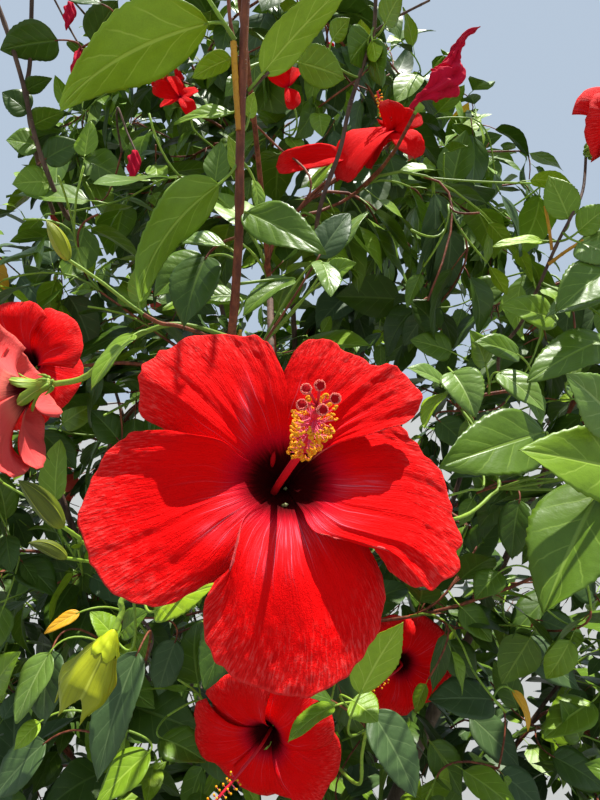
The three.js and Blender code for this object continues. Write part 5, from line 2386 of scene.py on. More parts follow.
@dataclass(frozen=True)
class SmallBlooms:
    """The blooms in the masses: the same flower with fewer faces, each turned and ruffled its own way."""

    crown: Crown
    rows: int = 22
    columns: int = 17
    half_spread: float = 43.0
    length: float = 0.066
    throat: Throat = Throat(0.026)
    claw: float = 0.0012
    eye: float = 0.0145
    roll: float = 0.005
    fold_back: float = 0.014
    furled_length: float = 0.072
    furled_radius: float = 0.0088
    column: float = 0.052
    column_points: int = 22
    stamens: int = 34
    thickness: float = 0.0004
    lifts: tuple[float, ...] = (6.0, 12.0, 18.0, 26.0)

    def place(self) -> None:
        """Gives the touched blooms their places, and leads each one's stalk there."""
        number = -1
        for mass in self.crown.masses:
            for index, bloom in enumerate(mass.blooms):
                number += 1
                if number not in TOUCHES:
                    continue
                touch = TOUCHES[number]
                facing = bloom.facing if touch.facing is None else unit(np.array(touch.facing))
                placed = Bloom(bloom.at + np.array(touch.shift), facing, bloom.opened, bloom.stalk)
                mass.blooms[index] = placed
                feet = np.array([twig.course.corners[-1] for twig in mass.twigs])
                found = int(np.argmin(np.linalg.norm(feet - bloom.foot, axis=1)))
                first = sum(twig.pieces for twig in mass.twigs[:found])
                twig = mass.twigs[found]
                del mass.joints[first: first + twig.pieces]
                del mass.twigs[found]
                if not touch.carried:
                    start, bend, _ = twig.course.corners
                    bend = VIEW.point(*touch.bend) if touch.bend else bend + (bloom.foot - placed.foot) / 2
                    course = Course(np.array([start, bend, placed.foot]))
                    self.crown.add_twig(mass, replace(twig, course=course))

    def petals(self, bloom: Bloom, number: int, size: float, lift: float, wilt: float) -> Surface:
        """The five petals of a bloom: polar fans on a funnel, lifted the way it faces, with rolled margins.

        Args:
            bloom: the bloom.
            number: picks its ruffles.
            size: how large it is, as a share of a full one.
            lift: how far the petals stand up from flat, in degrees.
            wilt: from 0, fresh, to 1, crumpled together.

        Returns:
            The petals.
        """
        random = np.random.default_rng(900 + number)
        s = np.linspace(-1, 1, self.columns)[None, None, :]
        r = np.linspace(0, 1, self.rows)[None, :, None]
        start = random.uniform(0, 72)
        turn = (start + 72 * np.arange(5) + random.normal(0, 3, 5))[:, None, None]
        lifts = np.radians(lift + random.normal(0, 6, 5) + wilt * random.uniform(10, 50, 5))[:, None, None]
        reach = self.length * size * random.uniform(0.92, 1.08, 5)[:, None, None] * (1 - 0.2 * wilt)
        fan = self.half_spread * (1 - 0.5 * wilt) * (1.0 + 0.35 * np.exp(-r * 5))
        angle = np.radians(turn + fan * s)
        noise = np.array([lattice_noise(s[0] * 3.5 + i * 9, r[0] * 1.6 + number, 120 + number)
                          for i in range(5)])
        fine = np.array([lattice_noise(s[0] * 9 + i * 9, r[0] * 3 + number, 160 + number) for i in range(5)])
        margin = reach * (1 - 0.17 * np.abs(s) ** 3 + 0.045 * noise[:, -1:])
        radius = self.claw + (margin - self.claw) * r
        ruffle = (0.0045 + 0.012 * wilt) * noise * smooth(r, 0.25, 1.0)
        ruffle = ruffle + (0.0014 + 0.004 * wilt) * fine * smooth(r, 0.4, 1.0)
        back = self.fold_back * (1 - wilt) * r**4
        roll = self.roll * s * np.minimum(1, 2.2 * r)
        ahead = self.throat.sunk(radius) + np.sin(lifts) * radius - back - roll
        level = (np.cos(lifts) * radius)[..., None] * around(bloom.facing, angle)
        points = bloom.at + level + (ahead + ruffle)[..., None] * bloom.facing
        across = (s[0] + 1) / 2 + 0 * r[0] + number * 0.37
        surface = sheets(points[:, :, ::-1], across[:, ::-1], radius[0] / PETAL_REACH, np.zeros(5, int))
        out = radius[:, :, ::-1] / (self.eye * size)
        surface.petal = np.stack(np.broadcast_arrays(r, out, 0.3 * noise[:, :, ::-1] ** 2), -1).reshape(-1, 3)
        return surface

    def column_line(self, bloom: Bloom, number: int, touch: BloomTouch, count: int) -> Array:
        """A bloom's column: out along its facing, then bent upwards and a little aside, or as its touch says.

        Args:
            bloom: the bloom.
            number: picks how far it leans aside.
            touch: how the bloom differs from the rule.
            count: how many points to make.

        Returns:
            The points, one a row.
        """
        t = np.linspace(-0.35, 1, count)[:, None]
        length = self.column * (0.35 + 0.65 * touch.size)
        if touch.column is None:
            bend = across_of(bloom.facing) * 0.008 * math.sin(number * 1.9) + np.array([0, 0, 0.01])
        else:
            bend = (unit(np.array(touch.column)) * 1.25 - bloom.facing) * length
        return bloom.at + bloom.facing * length * t + bend * np.maximum(t, 0) ** 1.4

    def furled(self, bloom: Bloom, number: int) -> Surface:
        """A furled bloom: a spindle whose five petals wind round each other, its radius waving with them.

        Args:
            bloom: the bloom.
            number: picks its crumples.

        Returns:
            The spindle.
        """
        share = np.linspace(0, 1, 90)
        turn = turns(50)[None]
        side = across_of(bloom.facing)
        over = np.cross(side, bloom.facing)
        sway = 0.003 * np.sin(share * 9)[:, None] * side + 0.004 * np.cos(share * 8)[:, None] * over
        path = bloom.foot + bloom.facing * (share[:, None] * self.furled_length) + sway
        body = 0.22 + 0.95 * np.exp(-((share - 0.42) / 0.22) ** 2) - 0.2 * smooth(share, 0.9, 1.0)
        twist = 2.5 * turn - share[:, None] * 11
        crumple = lattice_noise(turn * 1.6 + 0 * share[:, None], share[:, None] * 18 + 0 * turn, number)
        radii = self.furled_radius * body[:, None] * (0.7 + 0.46 * np.abs(np.sin(twist)) + 0.52 * crumple)
        skin = tubes(path[None], np.maximum(radii, 0.0004)[None], 50)
        skin.petal = np.stack([0.35 + 0.6 * skin.uv[:, 1], np.full(len(skin.uv), 4.0), 0 * skin.uv[:, 1]], -1)
        skin.uv[:, 1] = 0.4 + 0.45 * skin.uv[:, 1]
        return skin

    def stamen_lines(self, column: Array, number: int, size: float) -> tuple[Array, Array]:
        """The filaments of one bloom, which leave the outer third of its column by the golden angle.

        Args:
            column: the column's line.
            number: picks their lengths.
            size: the bloom's size, as a share of a full one.

        Returns:
            The filaments' lines, and the way that each one points.
        """
        random = np.random.default_rng(300 + number)
        index = np.linspace(len(column) * 2 // 3, len(column) - 1, self.stamens).astype(int)
        heading = unit(np.gradient(column, axis=0))[index]
        out = around(heading, np.arange(self.stamens) * GOLDEN_ANGLE)
        reach = random.uniform(0.0035, 0.0065, self.stamens)[:, None] * (0.35 + 0.65 * size)
        t = np.linspace(0, 1, 3)[None, :, None]
        return column[index][:, None] + out[:, None] * reach[:, None] * t, out

    def build(self, palette: Palette) -> None:
        """Makes all the small blooms as joined pieces, each kind apart.

        Args:
            palette: the materials.
        """
        petals, columns, lines, heads, furled, cups, bracts = [], [], [], [], [], [], []
        calyx = Calyx(self.throat, 0.028, 0.02, 0.0044, 0.006, 0.0008, 9, 30, bract_length=0.007)
        blooms = [bloom for mass in self.crown.masses for bloom in mass.blooms]
        for number, bloom in enumerate(blooms):
            touch = TOUCHES.get(number, BloomTouch(lift=self.lifts[number % len(self.lifts)]))
            bracts.append(calyx.bulb_surface(bloom.foot, bloom.facing))
            if not bloom.opened:
                furled.append(self.furled(bloom, number))
                continue
            cups.append(calyx.cup(bloom.foot, bloom.facing))
            bracts.append(calyx.bract_surface(bloom.foot, bloom.facing))
            petals.append(self.petals(bloom, number, touch.size, touch.lift, touch.wilt))
            columns.append(self.column_line(bloom, number, touch, self.column_points))
            line, out = self.stamen_lines(columns[-1], number, touch.size)
            lines.append(line)
            heads.append(out)
        for letter, share in zip("ab", (petals[::2], petals[1::2])):
            surface = Surface.joined(share)
            make_piece(f"bloom_petals_{letter}", surface, [palette.petal], (), self.thickness,
                       palette.petal_back)
        taper = 0.0013 - 0.0004 * np.linspace(0, 1, self.column_points)
        shafts = tubes(np.array(columns), np.tile(taper, (len(columns), 1)), 8)
        make_piece("bloom_columns", shafts, [palette.column])
        line, out = np.concatenate(lines), np.concatenate(heads)
        filaments = tubes(line, np.full(line.shape[:2], 0.0002), 3)
        make_piece("bloom_filaments", filaments, [palette.filament])
        knob = line[:, -1:] + out[:, None] * np.array([-0.0009, -0.0004, 0.0004, 0.0009])[None, :, None]
        radii = np.tile([0.0003, 0.00085, 0.00085, 0.0003], (len(line), 1))
        make_piece("bloom_anthers", tubes(knob, radii, 5), [palette.anther])
        make_piece("bloom_calyces", Surface.joined(cups), [palette.calyx], (), CALYX_THICKNESS)
        make_piece("bloom_bracts", Surface.joined(bracts), [palette.stalk])
        make_piece("furled_blooms", Surface.joined(furled), [palette.petal_wilted])


# What stands close round the large bloom


@dataclass(frozen=True)
class SightStem:
    """A stalk or stem seen close up: the sights it runs through, its radii in millimetres and its colour."""

    sights: tuple[Triple, ...]
    foot_radius: float
    tip_radius: float
    tone: StemTone
    grows_on: bool = True


@dataclass(frozen=True)
class SightLeaf:
    """A leaf seen close up, from its base to its tip: pixels and depth, then the blade's width in millimetres.

    roll turns the blade about its length: at 0 its upper side faces the viewer, at 90 it shows its edge, and
    past 90 its underside. fold and bend are in radians.
    """

    base: Triple
    tip: Triple
    width: float
    roll: float
    tone: Tone
    fold: float = 0.25
    bend: float = 0.35
    twist: float = 0.0


SIGHT_STEMS = tuple(SightStem(*row) for row in (
    (((233, 345, 0.375), (235, 300, 0.358), (239, 230, 0.345), (240, 150, 0.338), (243, 60, 0.334),
      (247, -30, 0.332)), 2.8, 2.4, REDDISH),
    (((236, 48, 0.335), (230, 20, 0.333), (227, -25, 0.331)), 1.1, 0.9, REDDISH, False),
    (((235, 40, 0.334), (222, 20, 0.328), (203, -10, 0.322)), 1.3, 1.0, GREEN, False),
    (((238.5, 130, 0.3345), (236, 90, 0.3325), (233.5, 42, 0.3315)), 1.5, 1.8, ORANGE, False),
    (((247, -28, 0.332), (262, -72, 0.308), (281, -104, 0.283), (293, -114, 0.268),
      (295.4, -102.5, 0.2597), (296, -89, 0.255), (295, -73, 0.2537),
      (294.9, -61, 0.2547)), 1.3, 1.1, BROWN, False),
    (((262, -72, 0.308), (295, -100, 0.289), (316, -115, 0.276), (324.4, -113, 0.2682),
      (324.9, -107.5, 0.2645), (325.1, -101, 0.2615)), 1.2, 1.2, BROWN, False),
    (((246, 92, 0.338), (256, 84, 0.336), (269, 72, 0.332)), 1.0, 0.8, BROWN, False),
    (((317, 222, 0.52), (326, 188, 0.51), (340, 150, 0.505), (350, 105, 0.5), (365, 60, 0.495),
      (374, 30, 0.49), (376, -20, 0.485)), 2.1, 1.6, BROWN),
    (((374, 32, 0.49), (395, 18, 0.485), (430, 0, 0.48)), 1.2, 0.9, BROWN, False),
    (((55, 192, 0.56), (36, 140, 0.545), (22, 80, 0.53), (5, 25, 0.52),
      (-10, -15, 0.515)), 2.3, 1.9, BROWN),
    (((27, 100, 0.545), (30, 60, 0.535), (32, -10, 0.525)), 2.1, 1.8, BROWN),
    (((182, 327, 0.38), (160, 323, 0.37), (143, 314, 0.362)), 1.3, 1.2, REDDISH),
    (((143, 314, 0.362), (128, 303, 0.358), (100, 281, 0.352),
      (66, 258, 0.345)), 1.15, 0.95, GREEN, False),
    (((186, 325, 0.385), (150, 330, 0.38), (112, 352, 0.379), (85, 377, 0.379),
      (54, 384, 0.38)), 1.4, 1.9, GREEN),
    (((500, 352, 0.5), (520, 325, 0.47), (538, 288, 0.44), (549, 262, 0.432), (560, 238, 0.426),
      (571, 217, 0.42), (583, 190, 0.43), (586, 154, 0.4456)), 1.5, 1.0, BROWN),
    (((549, 264, 0.43), (565, 252, 0.42), (584, 240, 0.41)), 1.3, 1.1, ORANGE, False),
    (((552, 250, 0.43), (549, 228, 0.428), (545, 206, 0.426)), 1.1, 1.0, ORANGE, False),
    (((499, 481, 0.4), (489, 497, 0.39), (470, 513, 0.375), (448, 521, 0.36)), 1.1, 1.1, GREEN),
    (((484, 484, 0.42), (468, 490, 0.41), (448, 496, 0.4)), 0.8, 0.8, GREEN),
    (((128, 596, 0.3), (122, 612, 0.296), (115, 630, 0.292)), 1.4, 1.5, GREEN),
    (((90, 545, 0.34), (78, 537, 0.325), (62, 526, 0.315)), 1.1, 1.1, GREEN),
    (((92, 562, 0.35), (80, 560, 0.335), (66, 558, 0.325)), 0.9, 0.9, GREEN),
    (((359, 784, 0.46), (362, 755, 0.45), (367, 727, 0.44)), 1.4, 1.2, GREEN),
    (((152, 640, 0.5), (137, 680, 0.48), (118, 730, 0.46), (108, 760, 0.45)), 1.5, 1.2, BROWN),
    (((470, 398, 0.47), (495, 393, 0.465), (530, 388, 0.46)), 1.6, 1.3, REDDISH),
    (((196, 132, 0.615), (190, 114, 0.61), (181, 97, 0.601)), 1.0, 0.9, GREEN),
    (((297, 122, 0.605), (293, 102, 0.6), (288, 85, 0.591)), 1.0, 0.9, GREEN),
    (((46, -22, 0.56), (62, 14, 0.56), (82, 50, 0.558)), 1.1, 0.9, BROWN),
    (((70, -14, 0.56), (72, -4, 0.56), (72, 4, 0.558)), 1.0, 0.9, BROWN),
    (((118, 108, 0.59), (127, 132, 0.588), (136, 152, 0.58)), 1.1, 0.9, BROWN),
))

SIGHT_LEAVES = tuple(SightLeaf(*row) for row in (
    ((209, 23, 0.326), (60, 108, 0.292), 50, 150, BRIGHT, 0.2, 1.0, 0.2),
    ((219, 184, 0.336), (139, 302, 0.3), 42, 136, FRESH, 0.3, 1.0, 0.2),
    ((233, 113, 0.336), (174, 124, 0.33), 16, 62, FRESH, 0.4, 0.5),
    ((231, 58, 0.345), (192, 78, 0.345), 20, 140, BRIGHT, 0.2, 0.4),
    ((245, 212, 0.344), (326, 254, 0.326), 32, 26, MID, 0.28, 0.45),
    ((262, 74, 0.332), (352, -22, 0.318), 30, 150, BRIGHT, 0.2, 0.35),
    ((322, 262, 0.4), (331, 297, 0.375), 26, 30, PALE, 0.3, 0.6),
    ((326, 278, 0.4), (356, 263, 0.385), 22, 38, FRESH, 0.3, 0.5),
    ((318, 258, 0.41), (350, 213, 0.42), 30, 20, BLUISH, 0.3, 0.5),
    ((330, 258, 0.43), (368, 212, 0.44), 26, 55, PALE, 0.3, 0.5),
    ((293, 280, 0.372), (243, 316, 0.352), 26, 55, MID, 0.5, 0.55),
    ((226, 246, 0.352), (165, 248, 0.346), 24, 68, PALE, 0.5, 0.6),
    ((207, 256, 0.362), (184, 327, 0.35), 38, 28, DEEP, 0.35, 0.6),
    ((205, 258, 0.372), (154, 297, 0.36), 34, 36, MID, 0.4, 0.5),
    ((236, 296, 0.382), (197, 300, 0.375), 22, 55, MID, 0.35, 0.5),
    ((139, 303, 0.366), (136, 266, 0.366), 20, 150, FRESH, 0.2, 0.4),
    ((238, 170, 0.345), (228, 136, 0.343), 13, 150, BRIGHT, 0.3, 0.3),
    ((249, 118, 0.345), (254, 92, 0.343), 12, 150, BRIGHT, 0.3, 0.3),
    ((254, 180, 0.348), (257, 215, 0.35), 18, 60, FRESH, 0.3, 0.5),
    ((298, 62, 0.4), (345, 78, 0.39), 34, 155, FRESH, 0.2, 0.4),
    ((332, 40, 0.46), (350, 18, 0.455), 24, 140, FRESH, 0.2, 0.4),
    ((370, 36, 0.49), (350, 62, 0.48), 40, 150, MID, 0.2, 0.4),
    ((368, 45, 0.49), (382, 86, 0.48), 34, 130, MID, 0.3, 0.4),
    ((372, 40, 0.485), (376, 62, 0.48), 20, 150, BRIGHT, 0.2, 0.4),
    ((385, 24, 0.475), (402, -8, 0.47), 32, 140, FRESH, 0.2, 0.4),
    ((58, 40, 0.52), (0, 50, 0.52), 46, 150, DEEP, 0.2, 0.3),
    ((92, 42, 0.54), (118, 0, 0.53), 44, 140, DEEP, 0.2, 0.3),
    ((102, 4, 0.5), (52, -4, 0.49), 30, 70, DEEP, 0.2, 0.3),
    ((135, 334, 0.372), (91, 390, 0.35), 24, 60, FRESH, 0.35, 0.5),
    ((569, 219, 0.422), (549, 176, 0.425), 30, 20, FRESH, 0.25, 0.35),
    ((543, 241, 0.432), (492, 247, 0.425), 16, 60, BRIGHT, 0.3, 0.4),
    ((578, 232, 0.415), (612, 205, 0.4), 30, 40, FRESH, 0.3, 0.4),
    ((578, 242, 0.412), (625, 262, 0.39), 34, 30, PALE, 0.25, 0.4),
    ((620, 262, 0.4), (556, 312, 0.385), 44, 30, MID, 0.3, 0.4),
    ((556, 320, 0.43), (500, 306, 0.42), 34, 40, FRESH, 0.3, 0.4),
    ((612, 290, 0.43), (545, 318, 0.41), 34, 50, PALE, 0.3, 0.4),
    ((608, 338, 0.4), (527, 382, 0.385), 42, 35, MID, 0.25, 0.4),
    ((520, 356, 0.43), (474, 342, 0.42), 28, 45, MID, 0.3, 0.5),
    ((486, 366, 0.44), (470, 330, 0.43), 26, 40, FRESH, 0.3, 0.4),
    ((452, 372, 0.42), (476, 418, 0.4), 36, 25, PALE, 0.55, 0.8),
    ((446, 386, 0.42), (406, 368, 0.41), 24, 60, PALE, 0.4, 0.6),
    ((446, 392, 0.42), (424, 428, 0.4), 26, 60, BRIGHT, 0.4, 0.6),
    ((498, 372, 0.46), (545, 412, 0.44), 34, 45, PALE, 0.3, 0.5),
    ((545, 432, 0.385), (439, 467, 0.355), 52, 12, MID, 0.2, 0.3),
    ((652, 478, 0.34), (519, 450, 0.325), 54, 22, FRESH, 0.3, 0.3),
    ((604, 482, 0.335), (543, 614, 0.305), 62, 20, MID, 0.3, 0.3),
    ((622, 428, 0.33), (566, 374, 0.32), 40, 30, PALE, 0.25, 0.4),
    ((520, 500, 0.5), (512, 560, 0.49), 38, 30, DEEP, 0.2, 0.4),
    ((500, 572, 0.52), (475, 600, 0.51), 34, 30, MID, 0.2, 0.4),
    ((360, 694, 0.37), (403, 622, 0.36), 36, 145, BRIGHT, 0.25, 0.3),
    ((352, 700, 0.4), (378, 722, 0.39), 34, 40, FRESH, 0.25, 0.4),
    ((334, 706, 0.4), (288, 742, 0.385), 30, 60, FRESH, 0.3, 0.5),
    ((334, 702, 0.42), (296, 694, 0.41), 24, 60, DEEP, 0.3, 0.5),
    ((372, 712, 0.42), (416, 798, 0.4), 42, 30, BLUISH, 0.35, 0.5),
    ((240, 606, 0.3), (205, 690, 0.285), 34, 35, DEEP, 0.25, 0.3),
    ((154, 612, 0.33), (218, 585, 0.315), 30, 40, BRIGHT, 0.25, 0.4),
    ((138, 652, 0.42), (97, 782, 0.39), 42, 35, BLUISH, 0.4, 0.4),
    ((116, 640, 0.4), (90, 612, 0.4), 26, 40, FRESH, 0.25, 0.4),
    ((122, 632, 0.42), (148, 612, 0.41), 26, 40, MID, 0.25, 0.4),
    ((50, 652, 0.46), (16, 724, 0.44), 34, 40, PALE, 0.25, 0.4),
    ((52, 650, 0.47), (44, 726, 0.45), 44, 40, BLUISH, 0.25, 0.4),
    ((-8, 690, 0.46), (20, 652, 0.45), 34, 40, FRESH, 0.25, 0.4),
    ((40, 722, 0.45), (14, 750, 0.44), 22, 40, BRIGHT, 0.25, 0.4),
    ((160, 738, 0.5), (206, 762, 0.49), 44, 40, MID, 0.25, 0.4),
    ((150, 752, 0.46), (96, 806, 0.44), 40, 40, FRESH, 0.25, 0.4),
    ((46, 742, 0.47), (-8, 800, 0.46), 44, 40, BLUISH, 0.25, 0.4),
    ((80, 612, 0.45), (44, 634, 0.44), 13, 30, YELLOWED, 0.3, 0.5),
    ((512, 690, 0.52), (528, 732, 0.51), 13, 50, YELLOWED, 0.5, 1.2),
    ((494, 700, 0.6), (428, 700, 0.58), 56, 30, BLUISH, 0.2, 0.3),
    ((592, 702, 0.6), (544, 738, 0.58), 50, 30, FRESH, 0.2, 0.3),
    ((520, 640, 0.6), (580, 690, 0.58), 48, 30, BLUISH, 0.2, 0.3),
    ((556, 590, 0.6), (508, 640, 0.58), 44, 30, DEEP, 0.2, 0.3),
    ((460, 606, 0.58), (492, 642, 0.57), 36, 30, MID, 0.2, 0.3),
    ((470, 560, 0.62), (500, 520, 0.61), 46, 30, DEEP, 0.2, 0.4),
    ((562, 650, 0.62), (524, 604, 0.61), 46, 30, MID, 0.2, 0.4),
    ((596, 596, 0.62), (556, 566, 0.61), 44, 30, BLUISH, 0.2, 0.4),
    ((448, 640, 0.62), (474, 690, 0.61), 46, 30, DEEP, 0.2, 0.4),
    ((470, 716, 0.64), (520, 768, 0.63), 52, 30, BLUISH, 0.2, 0.4),
    ((552, 756, 0.62), (606, 790, 0.61), 48, 30, DEEP, 0.2, 0.4),
    ((430, 742, 0.6), (462, 796, 0.59), 46, 30, MID, 0.2, 0.4),
    ((500, 772, 0.58), (544, 812, 0.57), 44, 30, BLUISH, 0.2, 0.4),
    ((20, 560, 0.56), (56, 596, 0.55), 42, 30, DEEP, 0.2, 0.4),
    ((4, 606, 0.54), (-12, 656, 0.53), 40, 30, MID, 0.2, 0.4),
    ((176, 640, 0.56), (158, 696, 0.55), 42, 30, BLUISH, 0.2, 0.4),
    ((150, 700, 0.58), (196, 730, 0.57), 44, 30, DEEP, 0.2, 0.4),
    ((40, 432, 0.54), (76, 470, 0.53), 38, 30, DEEP, 0.2, 0.4),
    ((6, 520, 0.56), (-6, 470, 0.55), 38, 30, MID, 0.2, 0.4),
    ((62, 424, 0.58), (104, 400, 0.57), 38, 30, FRESH, 0.2, 0.4),
    ((100, 330, 0.6), (60, 300, 0.59), 40, 30, DEEP, 0.2, 0.4),
    ((440, 330, 0.6), (410, 300, 0.59), 40, 30, DEEP, 0.2, 0.4),
    ((30, 112, 0.55), (2, 92, 0.54), 36, 30, DEEP, 0.2, 0.3),
    ((32, 126, 0.55), (64, 112, 0.55), 32, 140, MID, 0.2, 0.4),
    ((38, 146, 0.56), (6, 140, 0.55), 38, 40, MID, 0.2, 0.4),
    ((44, 160, 0.56), (80, 142, 0.56), 36, 30, DEEP, 0.2, 0.4),
    ((50, 182, 0.56), (12, 184, 0.55), 40, 30, FRESH, 0.2, 0.4),
    ((24, 92, 0.54), (52, 78, 0.54), 22, 140, DEEP, 0.2, 0.4),
    ((118, 440, 0.56), (90, 410, 0.55), 40, 30, DEEP, 0.2, 0.4),
    ((452, 352, 0.56), (410, 340, 0.55), 36, 30, MID, 0.2, 0.4),
    ((438, 420, 0.56), (470, 450, 0.55), 38, 30, DEEP, 0.2, 0.4),
    ((476, 440, 0.52), (500, 410, 0.51), 34, 30, BLUISH, 0.2, 0.4),
    ((500, 500, 0.6), (470, 470, 0.59), 42, 30, MID, 0.2, 0.4),
    ((540, 620, 0.56), (585, 640, 0.55), 40, 30, DEEP, 0.2, 0.4),
    ((580, 740, 0.6), (560, 700, 0.59), 40, 30, MID, 0.2, 0.4),
    ((470, 300, 0.6), (510, 280, 0.59), 40, 30, MID, 0.2, 0.4),
))

SIGHT_PETALS = tuple(SightLeaf(*row) for row in (
    ((180, 97, 0.6), (153, 86, 0.598), 20, 25, MID, 0.2, 0.4, 0.6),
    ((180, 97, 0.6), (160, 107, 0.602), 16, 45, MID, 0.2, 0.6, -0.5),
    ((180, 97, 0.6), (194, 114, 0.595), 18, 30, MID, 0.3, 0.5, -0.6),
    ((180, 97, 0.6), (171, 76, 0.595), 18, 55, MID, 0.3, 0.5, 0.5),
    ((180, 97, 0.6), (198, 90, 0.605), 16, 35, MID, 0.3, 0.6, 0.5),
    ((288, 87, 0.59), (272, 70, 0.585), 22, 30, MID, 0.3, 0.6, 0.5),
    ((288, 87, 0.59), (298, 68, 0.595), 20, 50, MID, 0.3, 0.5, -0.5),
    ((288, 87, 0.59), (294, 109, 0.585), 20, 35, MID, 0.3, 0.6, -0.5),
    ((393, 131, 0.56), (388, 99, 0.545), 30, 30, MID, 0.5, 1.5, 0.4),
    ((393, 131, 0.56), (422, 116, 0.548), 28, 40, MID, 0.5, 1.4, -0.4),
    ((393, 132, 0.56), (414, 158, 0.545), 36, 35, MID, 0.4, 1.5, 0.3),
    ((393, 132, 0.56), (372, 168, 0.55), 28, 50, MID, 0.5, 1.2, -0.3),
    ((396, 131, 0.56), (338, 180, 0.545), 52, 60, MID, 0.3, 1.3, 0.5),
    ((356, 158, 0.553), (276, 166, 0.545), 30, 55, MID, 0.6, 0.4, 0.7),
))


@dataclass(frozen=True)
class SightBud:
    """A bud seen close up: the sights of its foot and tip, its radius in millimetres, and whether it opens."""

    foot: Triple
    tip: Triple
    radius: float
    opening: bool = False
    lime: bool = False


SIGHT_BUDS = (
    SightBud((68, 260, 0.345), (46, 220, 0.34), 7.4, lime=True),
    SightBud((62, 527, 0.315), (18, 480, 0.3), 9.0),
    SightBud((66, 558, 0.325), (28, 543, 0.315), 6.0),
    SightBud((114.6, 630, 0.292), (71, 713, 0.288), 13.4, True),
)
SIGHT_FURLED = (
    SightBud((72, 3, 0.558), (66, 31, 0.552), 6.5),
    SightBud((82, 49, 0.558), (71, 80, 0.552), 6.5),
    SightBud((136, 151, 0.58), (131, 184, 0.572), 7.5),
)
OPEN_BUD_CUP = SightBud((115, 629, 0.2915), (100, 660, 0.29), 11.6, True)


